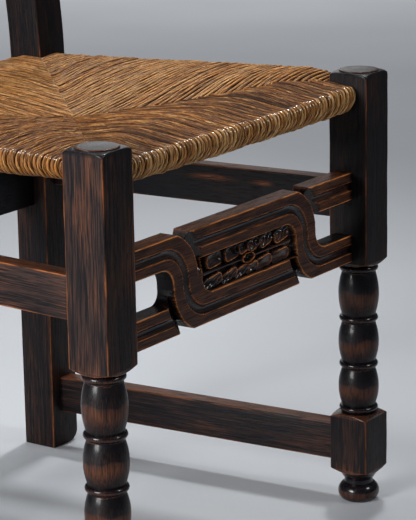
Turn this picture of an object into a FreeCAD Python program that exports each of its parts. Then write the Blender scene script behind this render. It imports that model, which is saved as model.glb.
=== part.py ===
import FreeCAD
import Part
import os
import re
import Sketcher

# A joined oak side chair with a rush seat, in millimetres, +Z up, standing on z = 0.
# The origin is on the floor under the middle of the chair, the sitter looks towards -Y.
sizes = {
    # Plan of the four legs
    "leg_section": 45.0,
    "leg_spacing": 448.0,
    "leg_depth": 403.0,
    "post_inset": 27.5,
    "post_width": 45.0,
    "post_depth": 43.0,
    # Turned front legs
    "leg_height": 471.5,
    "top_disc_radius": 20.5,
    "top_disc_drop": 5.5,
    "top_disc_crown": 1.6,
    "upper_block_low": 268.5,
    "lower_block_top": 95.5,
    "lower_block_low": 37.0,
    "shoulder_rise": 4.5,
    "shoulder_radius": 21.0,
    "bead_radius": 20.8,
    "bead_width": 6.4,
    "collar_height": 1.6,
    "barrel_radius": 21.6,
    "quirk_radius": 17.7,
    "first_bead": 260.0,
    "second_bead": 204.6,
    "third_bead": 153.6,
    "fourth_bead": 104.6,
    "bun_radius": 22.3,
    "bun_height": 20.0,
    "bun_foot_radius": 17.0,
    "neck_radius": 15.5,
    "neck_height": 4.0,
    # Back posts
    "post_height": 955.0,
    "bend_height": 440.0,
    "bend_radius": 700.0,
    "rake_angle": 5.9,
    "post_top_round": 9.0,
    "post_foot_round": 15.0,
    # Tenons
    "tenon_length": 18.0,
    "tenon_thickness": 10.0,
    "tenon_shoulder": 5.0,
    "joint_gap": 0.2,
    # Carved rails: two interlaced bands, in front view about the middle of the rail
    "carved_height": 96.0,
    "carved_thickness": 20.0,
    "front_rail_setback": 17.5,
    "front_rail_middle": 318.4,
    "opening_radius": 19.0,
    "limb_half_width": 20.0,
    "limb_overshoot": 4.0,
    "front_limb_offset": 105.0,
    "front_carving_shift": 6.0,
    "back_limb_offset": 91.0,
    "back_carving_shift": 0.0,
    "notch_lip": 9.0,
    "notch_depth": 11.0,
    "under_width": 12.0,
    "under_depth": 5.0,
    "panel_depth": 7.0,
    "channel_radius": 5.0,
    "channel_depth": 3.5,
    "crest_drop": 77.0,
    "back_rail_spacing": 188.0,
    # Plain rails
    "side_rail_low": 311.3,
    "side_rail_height": 42.0,
    "side_rail_thickness": 20.0,
    "side_rail_inset": 7.0,
    "stretcher_low": 41.4,
    "stretcher_height": 41.3,
    "stretcher_thickness": 21.0,
    "stretcher_inset": 9.0,
    "back_rail_low": 289.0,
    "back_rail_height": 64.3,
    "back_rail_thickness": 20.0,
    "back_rail_setback": 16.5,
    "rail_edge_round": 1.5,
    # Rush seat and the rails inside it
    "leg_rise": 10.0,
    "rush_layer": 7.0,
    "rush_nose_inset": 11.5,
    "seat_rail_width": 23.0,
    "seat_rail_height": 23.5,
    "seat_tenon_width": 14.0,
    "seat_tenon_height": 9.0,
    "seat_tenon_edge": 1.5,
    "rush_gap": 0.3,
    "seam_width": 4.0,
    "seat_sag": 20.0,
    "seat_bulge": 14.0,
}

doc = FreeCAD.newDocument("RushSeatChair")
sheet = doc.addObject("Spreadsheet::Sheet", "Sizes")
for row, (alias, number) in enumerate(sizes.items(), start=1):
    sheet.set(f"A{row}", alias)
    sheet.set(f"B{row}", str(number))
    sheet.setAlias(f"B{row}", alias)
doc.recompute()

# Places that several pieces share, as expressions on the sizes
half_spacing = "leg_spacing / 2"
half_leg = "leg_section / 2"
post_line = f"({half_spacing} - post_inset)"
bend_rise = "bend_radius * sin(rake_angle * 1 deg)"
bend_run = "bend_radius * (1 - cos(rake_angle * 1 deg))"
slope = "tan(rake_angle * 1 deg)"
lean = f"({bend_run} + (post_height - bend_height - {bend_rise}) * {slope})"
rounded_off = f"post_top_round * ({slope} + 1 / cos(rake_angle * 1 deg) - 1)"
front_line = f"(({half_leg} - leg_depth - post_depth / 2 - {lean} + {rounded_off}) / 2)"
rush_depth = "(seat_rail_height + 2 * rush_layer)"
seat_top = "(leg_height - leg_rise)"
seat_rail_low = f"({seat_top} - rush_layer - seat_rail_height)"
seat_rail_inset = "(rush_nose_inset + rush_layer)"
front_seat_rail_middle = f"({seat_rail_inset} + seat_rail_width / 2 - {half_leg})"
back_seat_rail_middle = f"(post_depth / 2 - {seat_rail_inset} - seat_rail_width / 2)"
crest_middle = "(post_height - crest_drop)"
back_rail_heights = {"crest": crest_middle, "lower_back": f"({crest_middle} - back_rail_spacing)"}
back_rail_middle = "(back_rail_setback + back_rail_thickness / 2 - post_depth / 2)"


def link(text):
    """Name the sheet in front of every size in an expression."""
    return re.sub(r"[a-z_]+", lambda word: f"Sizes.{word[0]}" if word[0] in sizes else word[0], text)


def value(text):
    return float(sheet.evalExpression(link(text)))


def minus(text):
    return f"-({text})"


def arc_radius(chord, rise):
    return f"((({chord}) / 2)^2 + ({rise})^2) / (2 * ({rise}))"


def new_body(label, x="0", y="0", z="0"):
    body = doc.addObject("PartDesign::Body", label)
    body.Label = label
    for axis, text in (("x", x), ("y", y), ("z", z)):
        body.setExpression(f"Placement.Base.{axis}", link(text))
    return body


def tilt(body):
    """Lean a piece back with the raked posts."""
    body.Placement = FreeCAD.Placement(FreeCAD.Vector(), FreeCAD.Rotation(FreeCAD.Vector(-1, 0, 0), 1))
    body.setExpression("Placement.Rotation.Angle", link("rake_angle * 1 deg"))


def arc_between(start, stop, radius, turn):
    """Short arc from start to stop, turning left for +1 and right for -1."""
    half = (stop - start) / 2
    aside = FreeCAD.Vector(-half.y, half.x, 0).normalize() * turn
    centre = start + half + aside * (max(radius**2 - half.Length**2, 0) ** 0.5)
    middle = centre - aside * radius
    return Part.Arc(start, middle, stop) if turn > 0 else Part.Arc(stop, middle, start)


def new_sketch(body, name, plane, lift, swing="0"):
    """Sketch on an origin plane, lifted along its normal, swung about its upright axis."""
    outline = body.newObject("Sketcher::SketchObject", name)
    support = next(item for item in body.Origin.OriginFeatures if item.Role == plane)
    outline.AttachmentSupport = [(support, "")]
    outline.MapMode = "FlatFace"
    outline.AttachmentOffset = FreeCAD.Placement(
        FreeCAD.Vector(), FreeCAD.Rotation(FreeCAD.Vector(0, 1, 0), value(swing)))
    outline.setExpression("AttachmentOffset.Base.z", link(lift))
    if value(swing):
        outline.setExpression("AttachmentOffset.Rotation.Angle", link(f"({swing}) * 1 deg"))
    return outline


def pin(outline, element, end, corner):
    """Tie a point of a sketch to the sizes that place it."""
    for kind, text in (("DistanceX", corner[0]), ("DistanceY", corner[1])):
        rule = outline.addConstraint(Sketcher.Constraint(kind, -1, 1, element, end, value(text)))
        outline.setExpression(f"Constraints[{rule}]", link(text))


def draw(outline, corners, closed=True):
    """Chain of lines and arcs. A corner is (x, y), or (x, y, radius, turn) where an arc leads to it."""
    points = [FreeCAD.Vector(value(corner[0]), value(corner[1]), 0) for corner in corners]
    chain = []
    for index in range(0 if closed else 1, len(corners)):
        start, stop = points[index - 1], points[index]
        if len(corners[index]) == 2:
            element = outline.addGeometry(Part.LineSegment(start, stop))
            chain.append((element, 1, 2))
        else:
            radius, turn = corners[index][2:]
            element = outline.addGeometry(arc_between(start, stop, value(radius), turn))
            chain.append((element, 1, 2) if turn > 0 else (element, 2, 1))
            rule = outline.addConstraint(Sketcher.Constraint("Radius", element, value(radius)))
            outline.setExpression(f"Constraints[{rule}]", link(radius))
    for before, after in zip(chain, chain[1:] + chain[:1] if closed else chain[1:]):
        outline.addConstraint(Sketcher.Constraint("Coincident", before[0], before[2], after[0], after[1]))
    if not closed:
        pin(outline, chain[0][0], chain[0][1], corners[0])
    for (element, start, stop), corner in zip(chain, corners if closed else corners[1:]):
        pin(outline, element, stop, corner)
    return outline


def rectangle(x_low, y_low, x_high, y_high):
    return [(x_low, y_low), (x_high, y_low), (x_high, y_high), (x_low, y_high)]


def pad(body, name, outlines, plane, lift, length, reverse=False, symmetric=False):
    outline = new_sketch(body, f"{name}_outline", plane, lift)
    for corners in outlines:
        draw(outline, corners)
    feature = body.newObject("PartDesign::Pad", name)
    feature.Profile = outline
    feature.setExpression("Length", link(length))
    feature.Reversed = reverse
    if symmetric:
        feature.SideType = "Symmetric"
    doc.recompute()
    return feature


def pocket(body, name, outlines, plane, lift, length, reverse=False):
    """Cut outlines into a body, against the plane's normal unless reversed."""
    before = body.Shape.Volume
    outline = new_sketch(body, f"{name}_outline", plane, lift)
    for corners in outlines:
        draw(outline, corners)
    feature = body.newObject("PartDesign::Pocket", name)
    feature.Profile = outline
    feature.setExpression("Length", link(length))
    feature.Reversed = reverse
    doc.recompute()
    if not body.Shape.Volume < before:
        raise ValueError(f"{body.Label}: {name} cuts nothing")
    return feature


def add_circle(outline, centre, radius):
    middle = FreeCAD.Vector(value(centre[0]), value(centre[1]), 0)
    circle = outline.addGeometry(Part.Circle(middle, FreeCAD.Vector(0, 0, 1), value(radius)))
    rule = outline.addConstraint(Sketcher.Constraint("Radius", circle, value(radius)))
    outline.setExpression(f"Constraints[{rule}]", link(radius))
    pin(outline, circle, 3, centre)


def sweep_cut(body, name, section, path, edge_count):
    """Cut a section away along the edges of a path."""
    before = body.Shape.Volume
    doc.recompute()
    cut = body.newObject("PartDesign::SubtractivePipe", name)
    cut.Profile = section
    cut.Spine = (path, [f"Edge{number}" for number in range(1, edge_count + 1)])
    doc.recompute()
    if not body.Shape.Volume < before:
        raise ValueError(f"{body.Label}: {name} cuts nothing")


def dress(body, kind, name, size, wanted):
    """Fillet or chamfer the edges of a body that wanted picks by their bounds."""
    base = body.Tip
    names = [f"Edge{number}" for number, edge in enumerate(base.Shape.Edges, 1) if wanted(edge.BoundBox)]
    feature = body.newObject(f"PartDesign::{kind}", name)
    feature.Base = (base, names)
    feature.setExpression("Radius" if kind == "Fillet" else "Size", link(size))
    doc.recompute()
    return feature


def close(first, second):
    return abs(first - second) < 0.01


# Front legs: square stock, turned away on a lathe
def bead(height):
    low = f"{height} - bead_width / 2"
    high = f"{height} + bead_width / 2"
    round_over = arc_radius("bead_width", "bead_radius - quirk_radius")
    return [("quirk_radius", low), ("quirk_radius", high, round_over, 1)]


def barrel(low_bead, high_bead):
    chord = f"{high_bead} - {low_bead} - bead_width - collar_height"
    collar_top = f"{high_bead} - bead_width / 2"
    swell = arc_radius(chord, "barrel_radius - quirk_radius")
    return [("quirk_radius", f"{collar_top} - collar_height", swell, 1), ("quirk_radius", collar_top)]


def turned_outlines():
    """The stretches cut away from the square, each from the turned line out past the corners."""
    corner = "(leg_section / sqrt(2))"
    clear = f"({corner} + quirk_radius)"
    bun_rise = "bun_radius - (bun_foot_radius + neck_radius) / 2"
    foot = [
        ("bun_foot_radius", "0"),
        ("neck_radius", "bun_height", arc_radius("bun_height", bun_rise), 1),
        ("neck_radius", "bun_height + neck_height"),
        ("shoulder_radius", "lower_block_low - shoulder_rise"),
        (corner, "lower_block_low"),
        (clear, "lower_block_low"),
        (clear, "0"),
    ]
    beads = ["fourth_bead", "third_bead", "second_bead", "first_bead"]
    shaft = [
        (clear, "lower_block_top"),
        (corner, "lower_block_top"),
        ("shoulder_radius", "lower_block_top + shoulder_rise"),
        *bead(beads[0]),
    ]
    for low, high in zip(beads, beads[1:]):
        shaft += barrel(low, high) + bead(high)[1:]
    shaft += [
        ("shoulder_radius", "upper_block_low - shoulder_rise"),
        (corner, "upper_block_low"),
        (clear, "upper_block_low"),
    ]
    top_round = arc_radius(f"{corner} - top_disc_radius", "top_disc_crown")
    top = [
        (clear, "leg_height - top_disc_drop"),
        (clear, "leg_height"),
        ("top_disc_radius", "leg_height"),
        (corner, "leg_height - top_disc_drop", top_round, -1),
    ]
    return foot, shaft, top


def mortise_across(body, name, side, corners, half_width):
    """Mortise for a tenon that comes along X into the inner face of a leg on the given side."""
    floor = f"{half_width} - tenon_length - joint_gap"
    lift = floor if side < 0 else minus(floor)
    pocket(body, name, [corners], "YZ_Plane", lift, half_width, reverse=side < 0)


def mortise_along(body, name, corners, low, height):
    """Mortise for a tenon of a side piece, drawn in plan."""
    pocket(body, name, [corners], "XY_Plane", f"{low} - joint_gap", f"{height} + 2 * joint_gap", reverse=True)


# Side pieces run from front leg to back post, closer together at the back
def side_line(side, inset, along):
    return f"{side} * ({half_spacing} + {half_leg} - ({inset}) - post_inset * ({along}) / leg_depth)"


def strip(side, outer, inner, start, stop, x_shift="0", y_shift="0"):
    """Plan of a side piece between two insets from the legs' outer faces."""
    corners = []
    for inset, along in ((outer, start), (outer, stop), (inner, stop), (inner, start)):
        corners.append((f"{side_line(side, inset, along)} - ({x_shift})", f"{along} - ({y_shift})"))
    return corners if side > 0 else corners[::-1]


front_shoulder = half_leg
back_shoulder = "leg_depth - post_depth / 2"
side_pieces = {
    "side_rail": ("side_rail_inset", "side_rail_thickness", "tenon_thickness",
                  "side_rail_low", "side_rail_height", "tenon_shoulder", "tenon_shoulder"),
    "low_stretcher": ("stretcher_inset", "stretcher_thickness", "tenon_thickness",
                      "stretcher_low", "stretcher_height", "tenon_shoulder", "tenon_shoulder"),
    "seat_rail": (seat_rail_inset, "seat_rail_width", "seat_tenon_width", seat_rail_low, "seat_rail_height",
                  "seat_tenon_edge", "seat_rail_height - seat_tenon_edge - seat_tenon_height"),
}


def tenon_plan(kind, side, grow, x_shift="0", y_shift="0"):
    inset, thickness, tenon = side_pieces[kind][:3]
    outer = f"{inset} + ({thickness} - {tenon}) / 2 - {grow}"
    inner = f"{inset} + ({thickness} + {tenon}) / 2 + {grow}"
    start = f"{front_shoulder} - tenon_length - {grow}"
    stop = f"{back_shoulder} + tenon_length + {grow}"
    return strip(side, outer, inner, start, stop, x_shift, y_shift)


def tenon_span(kind):
    low, height, below, above = side_pieces[kind][3:]
    return f"({low} + {below})", f"({height} - ({below}) - ({above}))"


def side_mortises(body, side, x_shift, y_shift):
    for kind in side_pieces:
        low, height = tenon_span(kind)
        plan = tenon_plan(kind, side, "joint_gap", x_shift, y_shift)
        mortise_along(body, f"{kind}_mortise", plan, low, height)


def front_leg(label, side):
    body = new_body(label, f"{side} * {half_spacing}", front_line)
    square = rectangle(minus(half_leg), minus(half_leg), half_leg, half_leg)
    pad(body, "stock", [square], "XY_Plane", "0", "leg_height")
    for name, corners in zip(("foot", "shaft", "top"), turned_outlines()):
        before = body.Shape.Volume
        outline = draw(new_sketch(body, f"{name}_profile", "XZ_Plane", "0"), corners)
        turning = body.newObject("PartDesign::Groove", name)
        turning.Profile = outline
        turning.ReferenceAxis = (outline, ["V_Axis"])
        turning.Angle = 360
        doc.recompute()
        if not body.Shape.Volume < before:
            raise ValueError(f"{label}: turning {name} cuts nothing")
    rail_face = f"(front_rail_setback - {half_leg})"
    for name, corners in band_sections(f"{rail_face} + carved_thickness / 2", "front_rail_middle"):
        mortise_across(body, name, side, corners, half_leg)
    low, high = seat_cross_tenon()
    seat_rail = cross_tenon(front_seat_rail_middle, "seat_tenon_width", low, high)
    mortise_across(body, "seat_rail_front_mortise", side, seat_rail, half_leg)
    side_mortises(body, side, f"{side} * {half_spacing}", "0")
    return body


def cross_tenon(middle, thickness, low, high):
    """Side view of the mortise for a tenon that comes along X."""
    reach = f"(({thickness}) / 2 + joint_gap)"
    near, far = f"{middle} - {reach}", f"{middle} + {reach}"
    return rectangle(near, f"{low} - joint_gap", far, f"{high} + joint_gap")


def seat_cross_tenon():
    """The front and back seat rails' tenons lie above those of the side ones."""
    high = f"({seat_rail_low} + seat_rail_height - seat_tenon_edge)"
    return f"({high} - seat_tenon_height)", high


def band_sections(middle, height, raked=False):
    """Side view of the mortises for the two bands of a carved rail."""
    cosine, sine = ("cos(rake_angle * 1 deg)", "sin(rake_angle * 1 deg)") if raked else ("1", "0")
    across = "(tenon_thickness / 2 + joint_gap)"
    near = "(opening_radius + tenon_shoulder - joint_gap)"
    far = "(carved_height / 2 - tenon_shoulder + joint_gap)"
    sections = []
    for name, (low, high) in {"upper": (near, far), "lower": (minus(far), minus(near))}.items():
        corners = []
        for out, up in ((minus(across), low), (across, low), (across, high), (minus(across), high)):
            corners.append((
                f"{middle} + ({out}) * {cosine} + ({up}) * {sine}",
                f"{height} - ({out}) * {sine} + ({up}) * {cosine}",
            ))
        sections.append((f"{name}_band_mortise", corners))
    return sections


# Back posts: sawn to a bent outline in side view
def post_middle(height):
    """How far the raked part of a post has leaned back at a height."""
    return f"({bend_run} + ({height} - bend_height - {bend_rise}) * {slope})"


def back_post(label, side):
    body = new_body(label, f"{side} * {post_line}", f"{front_line} + leg_depth")
    half = "post_depth / 2"
    bend_end = f"bend_height + {bend_rise}"
    outline = [
        (minus(half), "0"),
        (half, "0"),
        (half, "bend_height"),
        (f"{half} + {bend_run}", bend_end, "bend_radius", -1),
        (f"{half} + {lean}", "post_height"),
        (f"{lean} - {half}", "post_height"),
        (f"{bend_run} - {half}", bend_end),
        (minus(half), "bend_height", "bend_radius", 1),
    ]
    pad(body, "bent_outline", [outline], "YZ_Plane", "0", "post_width", symmetric=True)
    top, foot_side = value("post_height"), side * value("post_width / 2")
    dress(body, "Fillet", "top_round", "post_top_round", lambda box: close(box.ZMin, top))
    dress(body, "Fillet", "worn_foot", "post_foot_round",
          lambda box: close(box.ZMax, 0) and close(box.XMin, foot_side) and close(box.XMax, foot_side))
    half_width = "post_width / 2"
    under_rail = cross_tenon(back_rail_middle, "tenon_thickness", "(back_rail_low + tenon_shoulder)",
                             "(back_rail_low + back_rail_height - tenon_shoulder)")
    mortise_across(body, "under_rail_mortise", side, under_rail, half_width)
    low, high = seat_cross_tenon()
    seat_rail = cross_tenon(back_seat_rail_middle, "seat_tenon_width", low, high)
    mortise_across(body, "seat_rail_back_mortise", side, seat_rail, half_width)
    for rail, height in back_rail_heights.items():
        for name, corners in band_sections(post_middle(height), height, raked=True):
            mortise_across(body, f"{rail}_{name}", side, corners, half_width)
    side_mortises(body, side, f"{side} * {post_line}", "leg_depth")
    return body


# Carved rails: front view, bands above and below, an S-shaped limb at each crossing
limb_radius = "(carved_height / 2 + limb_overshoot)"
limb_reach = f"({limb_radius} - limb_half_width)"
half_height = "carved_height / 2"
band_middle = f"(({half_height} + opening_radius) / 2)"


def on_limb(up, radius=limb_radius):
    """How far the round side of a limb stands out from its middle, at a height."""
    return f"(sqrt({radius}^2 - ({up})^2) - {limb_reach})"


def limb_top(centre):
    """Upper edge at a crossing, right to left: the covered band's end, a notch, the limb's round."""
    notch = f"({half_height} - notch_depth)"
    return [
        (f"{centre} + notch_lip", half_height),
        (f"{centre} + {on_limb(notch)}", notch),
        (f"{centre} + {on_limb(half_height)}", half_height, limb_radius, 1),
    ]


def limb_side(centre):
    """Right side of a limb, upwards: a hollow corner, then the round."""
    return [
        (f"{centre} + limb_half_width + opening_radius", minus("opening_radius")),
        (f"{centre} + limb_half_width", "0", "opening_radius", -1),
        (f"{centre} + {on_limb('opening_radius')}", "opening_radius", limb_radius, 1),
    ]


def turned_about(corners, centre):
    """The same corners after half a turn about a point on the middle line."""
    return [(f"2 * ({centre}) - ({x})", minus(y), *arc) for x, y, *arc in corners]


def carved_rail(label, half_length, limb_offset, shift):
    """Board with its tenons, its front face towards -Y, about the middle of its thickness."""
    body = new_body(label)
    left, right = f"({shift} - {limb_offset})", f"({shift} + {limb_offset})"
    ends = half_length
    outline = [
        (minus(ends), minus(half_height)),
        *turned_about(limb_top(left), left),
        *turned_about(limb_top(right), right),
        (ends, minus(half_height)),
        (ends, minus("opening_radius")),
        *limb_side(right),
        (ends, "opening_radius"),
        (ends, half_height),
        *limb_top(right),
        *limb_top(left),
        (minus(ends), half_height),
        (minus(ends), "opening_radius"),
        *turned_about(limb_side(left), left),
        (minus(ends), minus("opening_radius")),
    ]
    pad(body, "board", [outline], "XZ_Plane", "0", "carved_thickness", symmetric=True)
    low, high = "(opening_radius + tenon_shoulder)", f"({half_height} - tenon_shoulder)"
    tenons = []
    for near, far in ((ends, f"{ends} + tenon_length"), (f"-({ends}) - tenon_length", minus(ends))):
        tenons.append(rectangle(near, low, far, high))
        tenons.append(rectangle(near, minus(high), far, minus(low)))
    pad(body, "tenons", tenons, "XZ_Plane", "0", "tenon_thickness", symmetric=True)
    face = "carved_thickness / 2"
    panel = limb_side(left) + turned_about(limb_side(right), right)
    pocket(body, "panel", [panel], "XZ_Plane", face, "panel_depth")
    pocket(body, "covered_ends", covered_ends(left) + covered_ends(right), "XZ_Plane", face, "under_depth")
    for number, route in enumerate(channel_routes(left, right, ends), start=1):
        channel(body, f"channel_{number}", route, face)
    return body


def covered_ends(centre):
    """The sunk ends of the band that passes under a limb."""
    wide = f"({limb_radius} + under_width)"
    upper = [
        (f"{centre} + {on_limb('opening_radius', wide)}", "opening_radius"),
        (f"{centre} + {on_limb(half_height, wide)}", half_height, wide, 1),
        (f"{centre} + {on_limb(half_height)}", half_height),
        (f"{centre} + {on_limb('opening_radius')}", "opening_radius", limb_radius, -1),
    ]
    return [upper, turned_about(upper, centre)]


def channel_routes(left, right, ends):
    """Middle lines of the bands: two that turn down a limb, and the two covered ends."""
    past = f"({ends} + channel_radius)"
    over = [
        (minus(past), band_middle),
        (f"{left} - {band_middle}", band_middle),
        (left, "0", band_middle, -1),
        (f"{left} + {band_middle}", minus(band_middle), band_middle, 1),
        (f"{right} - notch_lip", minus(band_middle)),
    ]
    other = [
        (past, minus(band_middle)),
        (f"{right} + {band_middle}", minus(band_middle)),
        (right, "0", band_middle, -1),
        (f"{right} - {band_middle}", band_middle, band_middle, 1),
        (f"{left} + notch_lip", band_middle),
    ]
    covered = [(past, band_middle), (right, band_middle)]
    other_covered = [(minus(past), minus(band_middle)), (left, minus(band_middle))]
    return over, other, covered, other_covered


def channel(body, name, route, face):
    """Round gouged channel along the middle of a band."""
    path = draw(new_sketch(body, f"{name}_path", "XZ_Plane", face), route, closed=False)
    start_x, start_z = route[0]
    section = new_sketch(body, f"{name}_section", "YZ_Plane", start_x)
    add_circle(section, (f"channel_depth - channel_radius - {face}", start_z), "channel_radius")
    sweep_cut(body, name, section, path, len(route) - 1)


def front_carved_rail():
    half_length = f"({half_spacing} - {half_leg})"
    middle = f"front_rail_setback + carved_thickness / 2 - {half_leg}"
    body = carved_rail("carved_front_rail", half_length, "front_limb_offset", "front_carving_shift")
    body.setExpression("Placement.Base.y", link(f"{front_line} + {middle}"))
    body.setExpression("Placement.Base.z", link("front_rail_middle"))
    return body


def back_carved_rail(label, height):
    body = carved_rail(label, f"({post_line} - post_width / 2)", "back_limb_offset", "back_carving_shift")
    tilt(body)
    body.setExpression("Placement.Base.y", link(f"{front_line} + leg_depth + {post_middle(height)}"))
    body.setExpression("Placement.Base.z", link(height))
    return body


# Plain rails
def round_long_edges(body, long_side):
    dress(body, "Fillet", "worn_edges", "rail_edge_round",
          lambda box: max(box.XLength, box.YLength) > value(long_side) * 0.9)


def side_piece(kind, side):
    label = f"{kind}_{'left' if side < 0 else 'right'}"
    inset, thickness, low, height = (side_pieces[kind][index] for index in (0, 1, 3, 4))
    body = new_body(label, "0", front_line)
    board = strip(side, inset, f"{inset} + {thickness}", front_shoulder, back_shoulder)
    pad(body, "board", [board], "XY_Plane", low, height)
    round_long_edges(body, f"{back_shoulder} - {front_shoulder}")
    tenon_low, tenon_height = tenon_span(kind)
    pad(body, "tenons", [tenon_plan(kind, side, "0")], "XY_Plane", tenon_low, tenon_height)
    return body


def cross_piece(label, half_length, middle, low, height, thickness, tenon):
    """Board along X between two legs, with a tenon (thickness, low, high) at each end."""
    body = new_body(label, "0", middle)
    front_view = rectangle(minus(half_length), low, half_length, f"{low} + {height}")
    pad(body, "board", [front_view], "XZ_Plane", "0", thickness, symmetric=True)
    round_long_edges(body, f"2 * {half_length}")
    tenon_thickness, tenon_low, tenon_high = tenon
    reach = f"({half_length} + tenon_length)"
    through = rectangle(minus(reach), tenon_low, reach, tenon_high)
    pad(body, "tenons", [through], "XZ_Plane", "0", tenon_thickness, symmetric=True)
    return body


def cross_pieces():
    inner_front, inner_back = f"({half_spacing} - {half_leg})", f"({post_line} - post_width / 2)"
    seat_tenon = ("seat_tenon_width", *seat_cross_tenon())
    back_line = f"{front_line} + leg_depth"
    under_tenon = ("tenon_thickness", "back_rail_low + tenon_shoulder",
                   "back_rail_low + back_rail_height - tenon_shoulder")
    return [
        cross_piece("seat_rail_front", inner_front, f"{front_line} + {front_seat_rail_middle}",
                    seat_rail_low, "seat_rail_height", "seat_rail_width", seat_tenon),
        cross_piece("seat_rail_back", inner_back, f"{back_line} + {back_seat_rail_middle}",
                    seat_rail_low, "seat_rail_height", "seat_rail_width", seat_tenon),
        cross_piece("back_under_rail", inner_back, f"{back_line} + {back_rail_middle}",
                    "back_rail_low", "back_rail_height", "back_rail_thickness", under_tenon),
    ]


# Rush seat: rounded over the four seat rails, notched round the legs, sagging to its middle
# and packed with loose rush in the four pockets between its two layers
nose_front = f"(rush_nose_inset - {half_leg})"
nose_back = "(leg_depth + post_depth / 2 - rush_nose_inset)"
seat_low = f"({seat_top} - {rush_depth})"
seat_middle = "(leg_depth / 2)"
places = ("front", "back", "left", "right")


def seat_plan():
    front_corner, behind_leg = f"({half_spacing} - {half_leg} - rush_gap)", f"({half_leg} + rush_gap)"
    back_corner, before_post = f"({post_line} - post_width / 2 - rush_gap)", f"({back_shoulder} - rush_gap)"
    right_side = [
        (front_corner, nose_front),
        (front_corner, behind_leg),
        (side_line(1, "rush_nose_inset", behind_leg), behind_leg),
        (side_line(1, "rush_nose_inset", before_post), before_post),
        (back_corner, before_post),
        (back_corner, nose_back),
    ]
    return right_side + [(minus(x), y) for x, y in right_side[::-1]]


def rail_slots():
    """Plan of the room for the four seat rails."""
    inner = f"{seat_rail_inset} + seat_rail_width + rush_gap"
    outer = f"{seat_rail_inset} - rush_gap"
    front = rectangle(minus(half_spacing), f"{outer} - {half_leg}", half_spacing, f"{inner} - {half_leg}")
    back_edge = "leg_depth + post_depth / 2"
    back = rectangle(minus(post_line), f"{back_edge} - ({inner})", post_line, f"{back_edge} - ({outer})")
    sides = [strip(side, outer, inner, "0", "leg_depth") for side in (1, -1)]
    return [front, back], sides


def loft(body, kind, name, sections):
    """Ruled loft through outlines, each with its plane, lift and swing."""
    outlines = []
    for number, (corners, plane, lift, swing) in enumerate(sections, start=1):
        outlines.append(draw(new_sketch(body, f"{name}_{number}", plane, lift, swing), corners))
    doc.recompute()
    feature = body.newObject(f"PartDesign::{kind}Loft", name)
    feature.Profile = outlines[0]
    feature.Sections = outlines[1:]
    feature.Ruled = True
    doc.recompute()
    return feature


def inner_plan(inset):
    """Plan of the seat inside an inset from the outer faces of the legs."""
    low, high = f"({inset} - {half_leg})", f"(leg_depth + post_depth / 2 - {inset})"
    front, back = side_line(1, inset, low), side_line(1, inset, high)
    return [(minus(front), low), (front, low), (back, high), (minus(back), high)]


def middle_plan():
    low, high = f"{seat_middle} - seam_width", f"{seat_middle} + seam_width"
    return rectangle("-seam_width", low, "seam_width", high)


def rush_block():
    body = new_body("rush_block", "0", front_line)
    pad(body, "wrapped_block", [seat_plan()], "XY_Plane", seat_top, rush_depth, reverse=True)
    top, low = value(seat_top), value(seat_low)
    front, back = value(nose_front), value(nose_back)

    def on_nose(box):
        flat = close(box.ZMin, box.ZMax) and (close(box.ZMin, top) or close(box.ZMin, low))
        across = close(box.YMin, box.YMax) and (close(box.YMin, front) or close(box.YMin, back))
        return flat and (across or box.YLength > value("leg_depth") / 2)

    dress(body, "Fillet", "rounded_nose", f"{rush_depth} / 2 - rush_gap", on_nose)
    cross_slots, side_slots = rail_slots()
    bottom = f"{seat_rail_low} - rush_gap"
    room = "seat_rail_height + 2 * rush_gap"
    pocket(body, "cross_rail_room", cross_slots, "XY_Plane", bottom, room, reverse=True)
    pocket(body, "side_rail_room", side_slots, "XY_Plane", bottom, room, reverse=True)
    loft(body, "Subtractive", "sagging_top", [
        (inner_plan(f"(rush_nose_inset + {rush_depth} / 2)"), "XY_Plane", seat_top, "0"),
        (middle_plan(), "XY_Plane", f"{seat_top} - seat_sag", "0"),
    ])
    loft(body, "Additive", "bulging_underside", [
        (inner_plan("(leg_section + rush_gap)"), "XY_Plane", seat_low, "0"),
        (middle_plan(), "XY_Plane", f"{seat_low} - seat_bulge", "0"),
    ])
    return body


def padding(label, place, grow):
    """Loose rush in one of the four pockets, thick at its rail and thinning to the middle of the seat."""
    body = new_body(label, "0", front_line)
    inset = f"({seat_rail_inset} + seat_rail_width + rush_gap - {grow})"
    web = f"(seam_width + rush_gap - {grow})"
    low, high = f"({inset} - {half_leg})", f"(leg_depth + post_depth / 2 - {inset})"
    rail_low, rail_high = f"{seat_rail_low} - {grow}", f"{seat_rail_low} + seat_rail_height + {grow}"
    thin_low = f"{seat_low} - seat_bulge + rush_layer - {grow}"
    thin_high = f"{seat_top} - seat_sag - rush_layer + {grow}"
    tip = f"(seam_width / 2 + {grow})"
    if place in ("front", "back"):
        line, step = (low, minus(web)) if place == "front" else (high, web)
        half = f"({side_line(1, inset, line)} - {web})"
        end = f"({seat_middle} + {step})"
        sections = [
            (rectangle(minus(half), rail_low, half, rail_high), "XZ_Plane", minus(line), "0"),
            (rectangle(minus(tip), thin_low, tip, thin_high), "XZ_Plane", minus(end), "0"),
        ]
    else:
        side = 1 if place == "right" else -1
        start, stop = f"{low} + {web}", f"{high} - {web}"
        near, far = f"{seat_middle} - {tip}", f"{seat_middle} + {tip}"
        swing = f"{side} * atan(post_inset / leg_depth) / 1 deg"
        sections = [
            (rectangle(start, rail_low, stop, rail_high), "YZ_Plane", side_line(side, inset, "0"), swing),
            (rectangle(near, thin_low, far, thin_high), "YZ_Plane", f"{side} * {web}", "0"),
        ]
    loft(body, "Additive", "packed_rush", sections)
    return body


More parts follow.
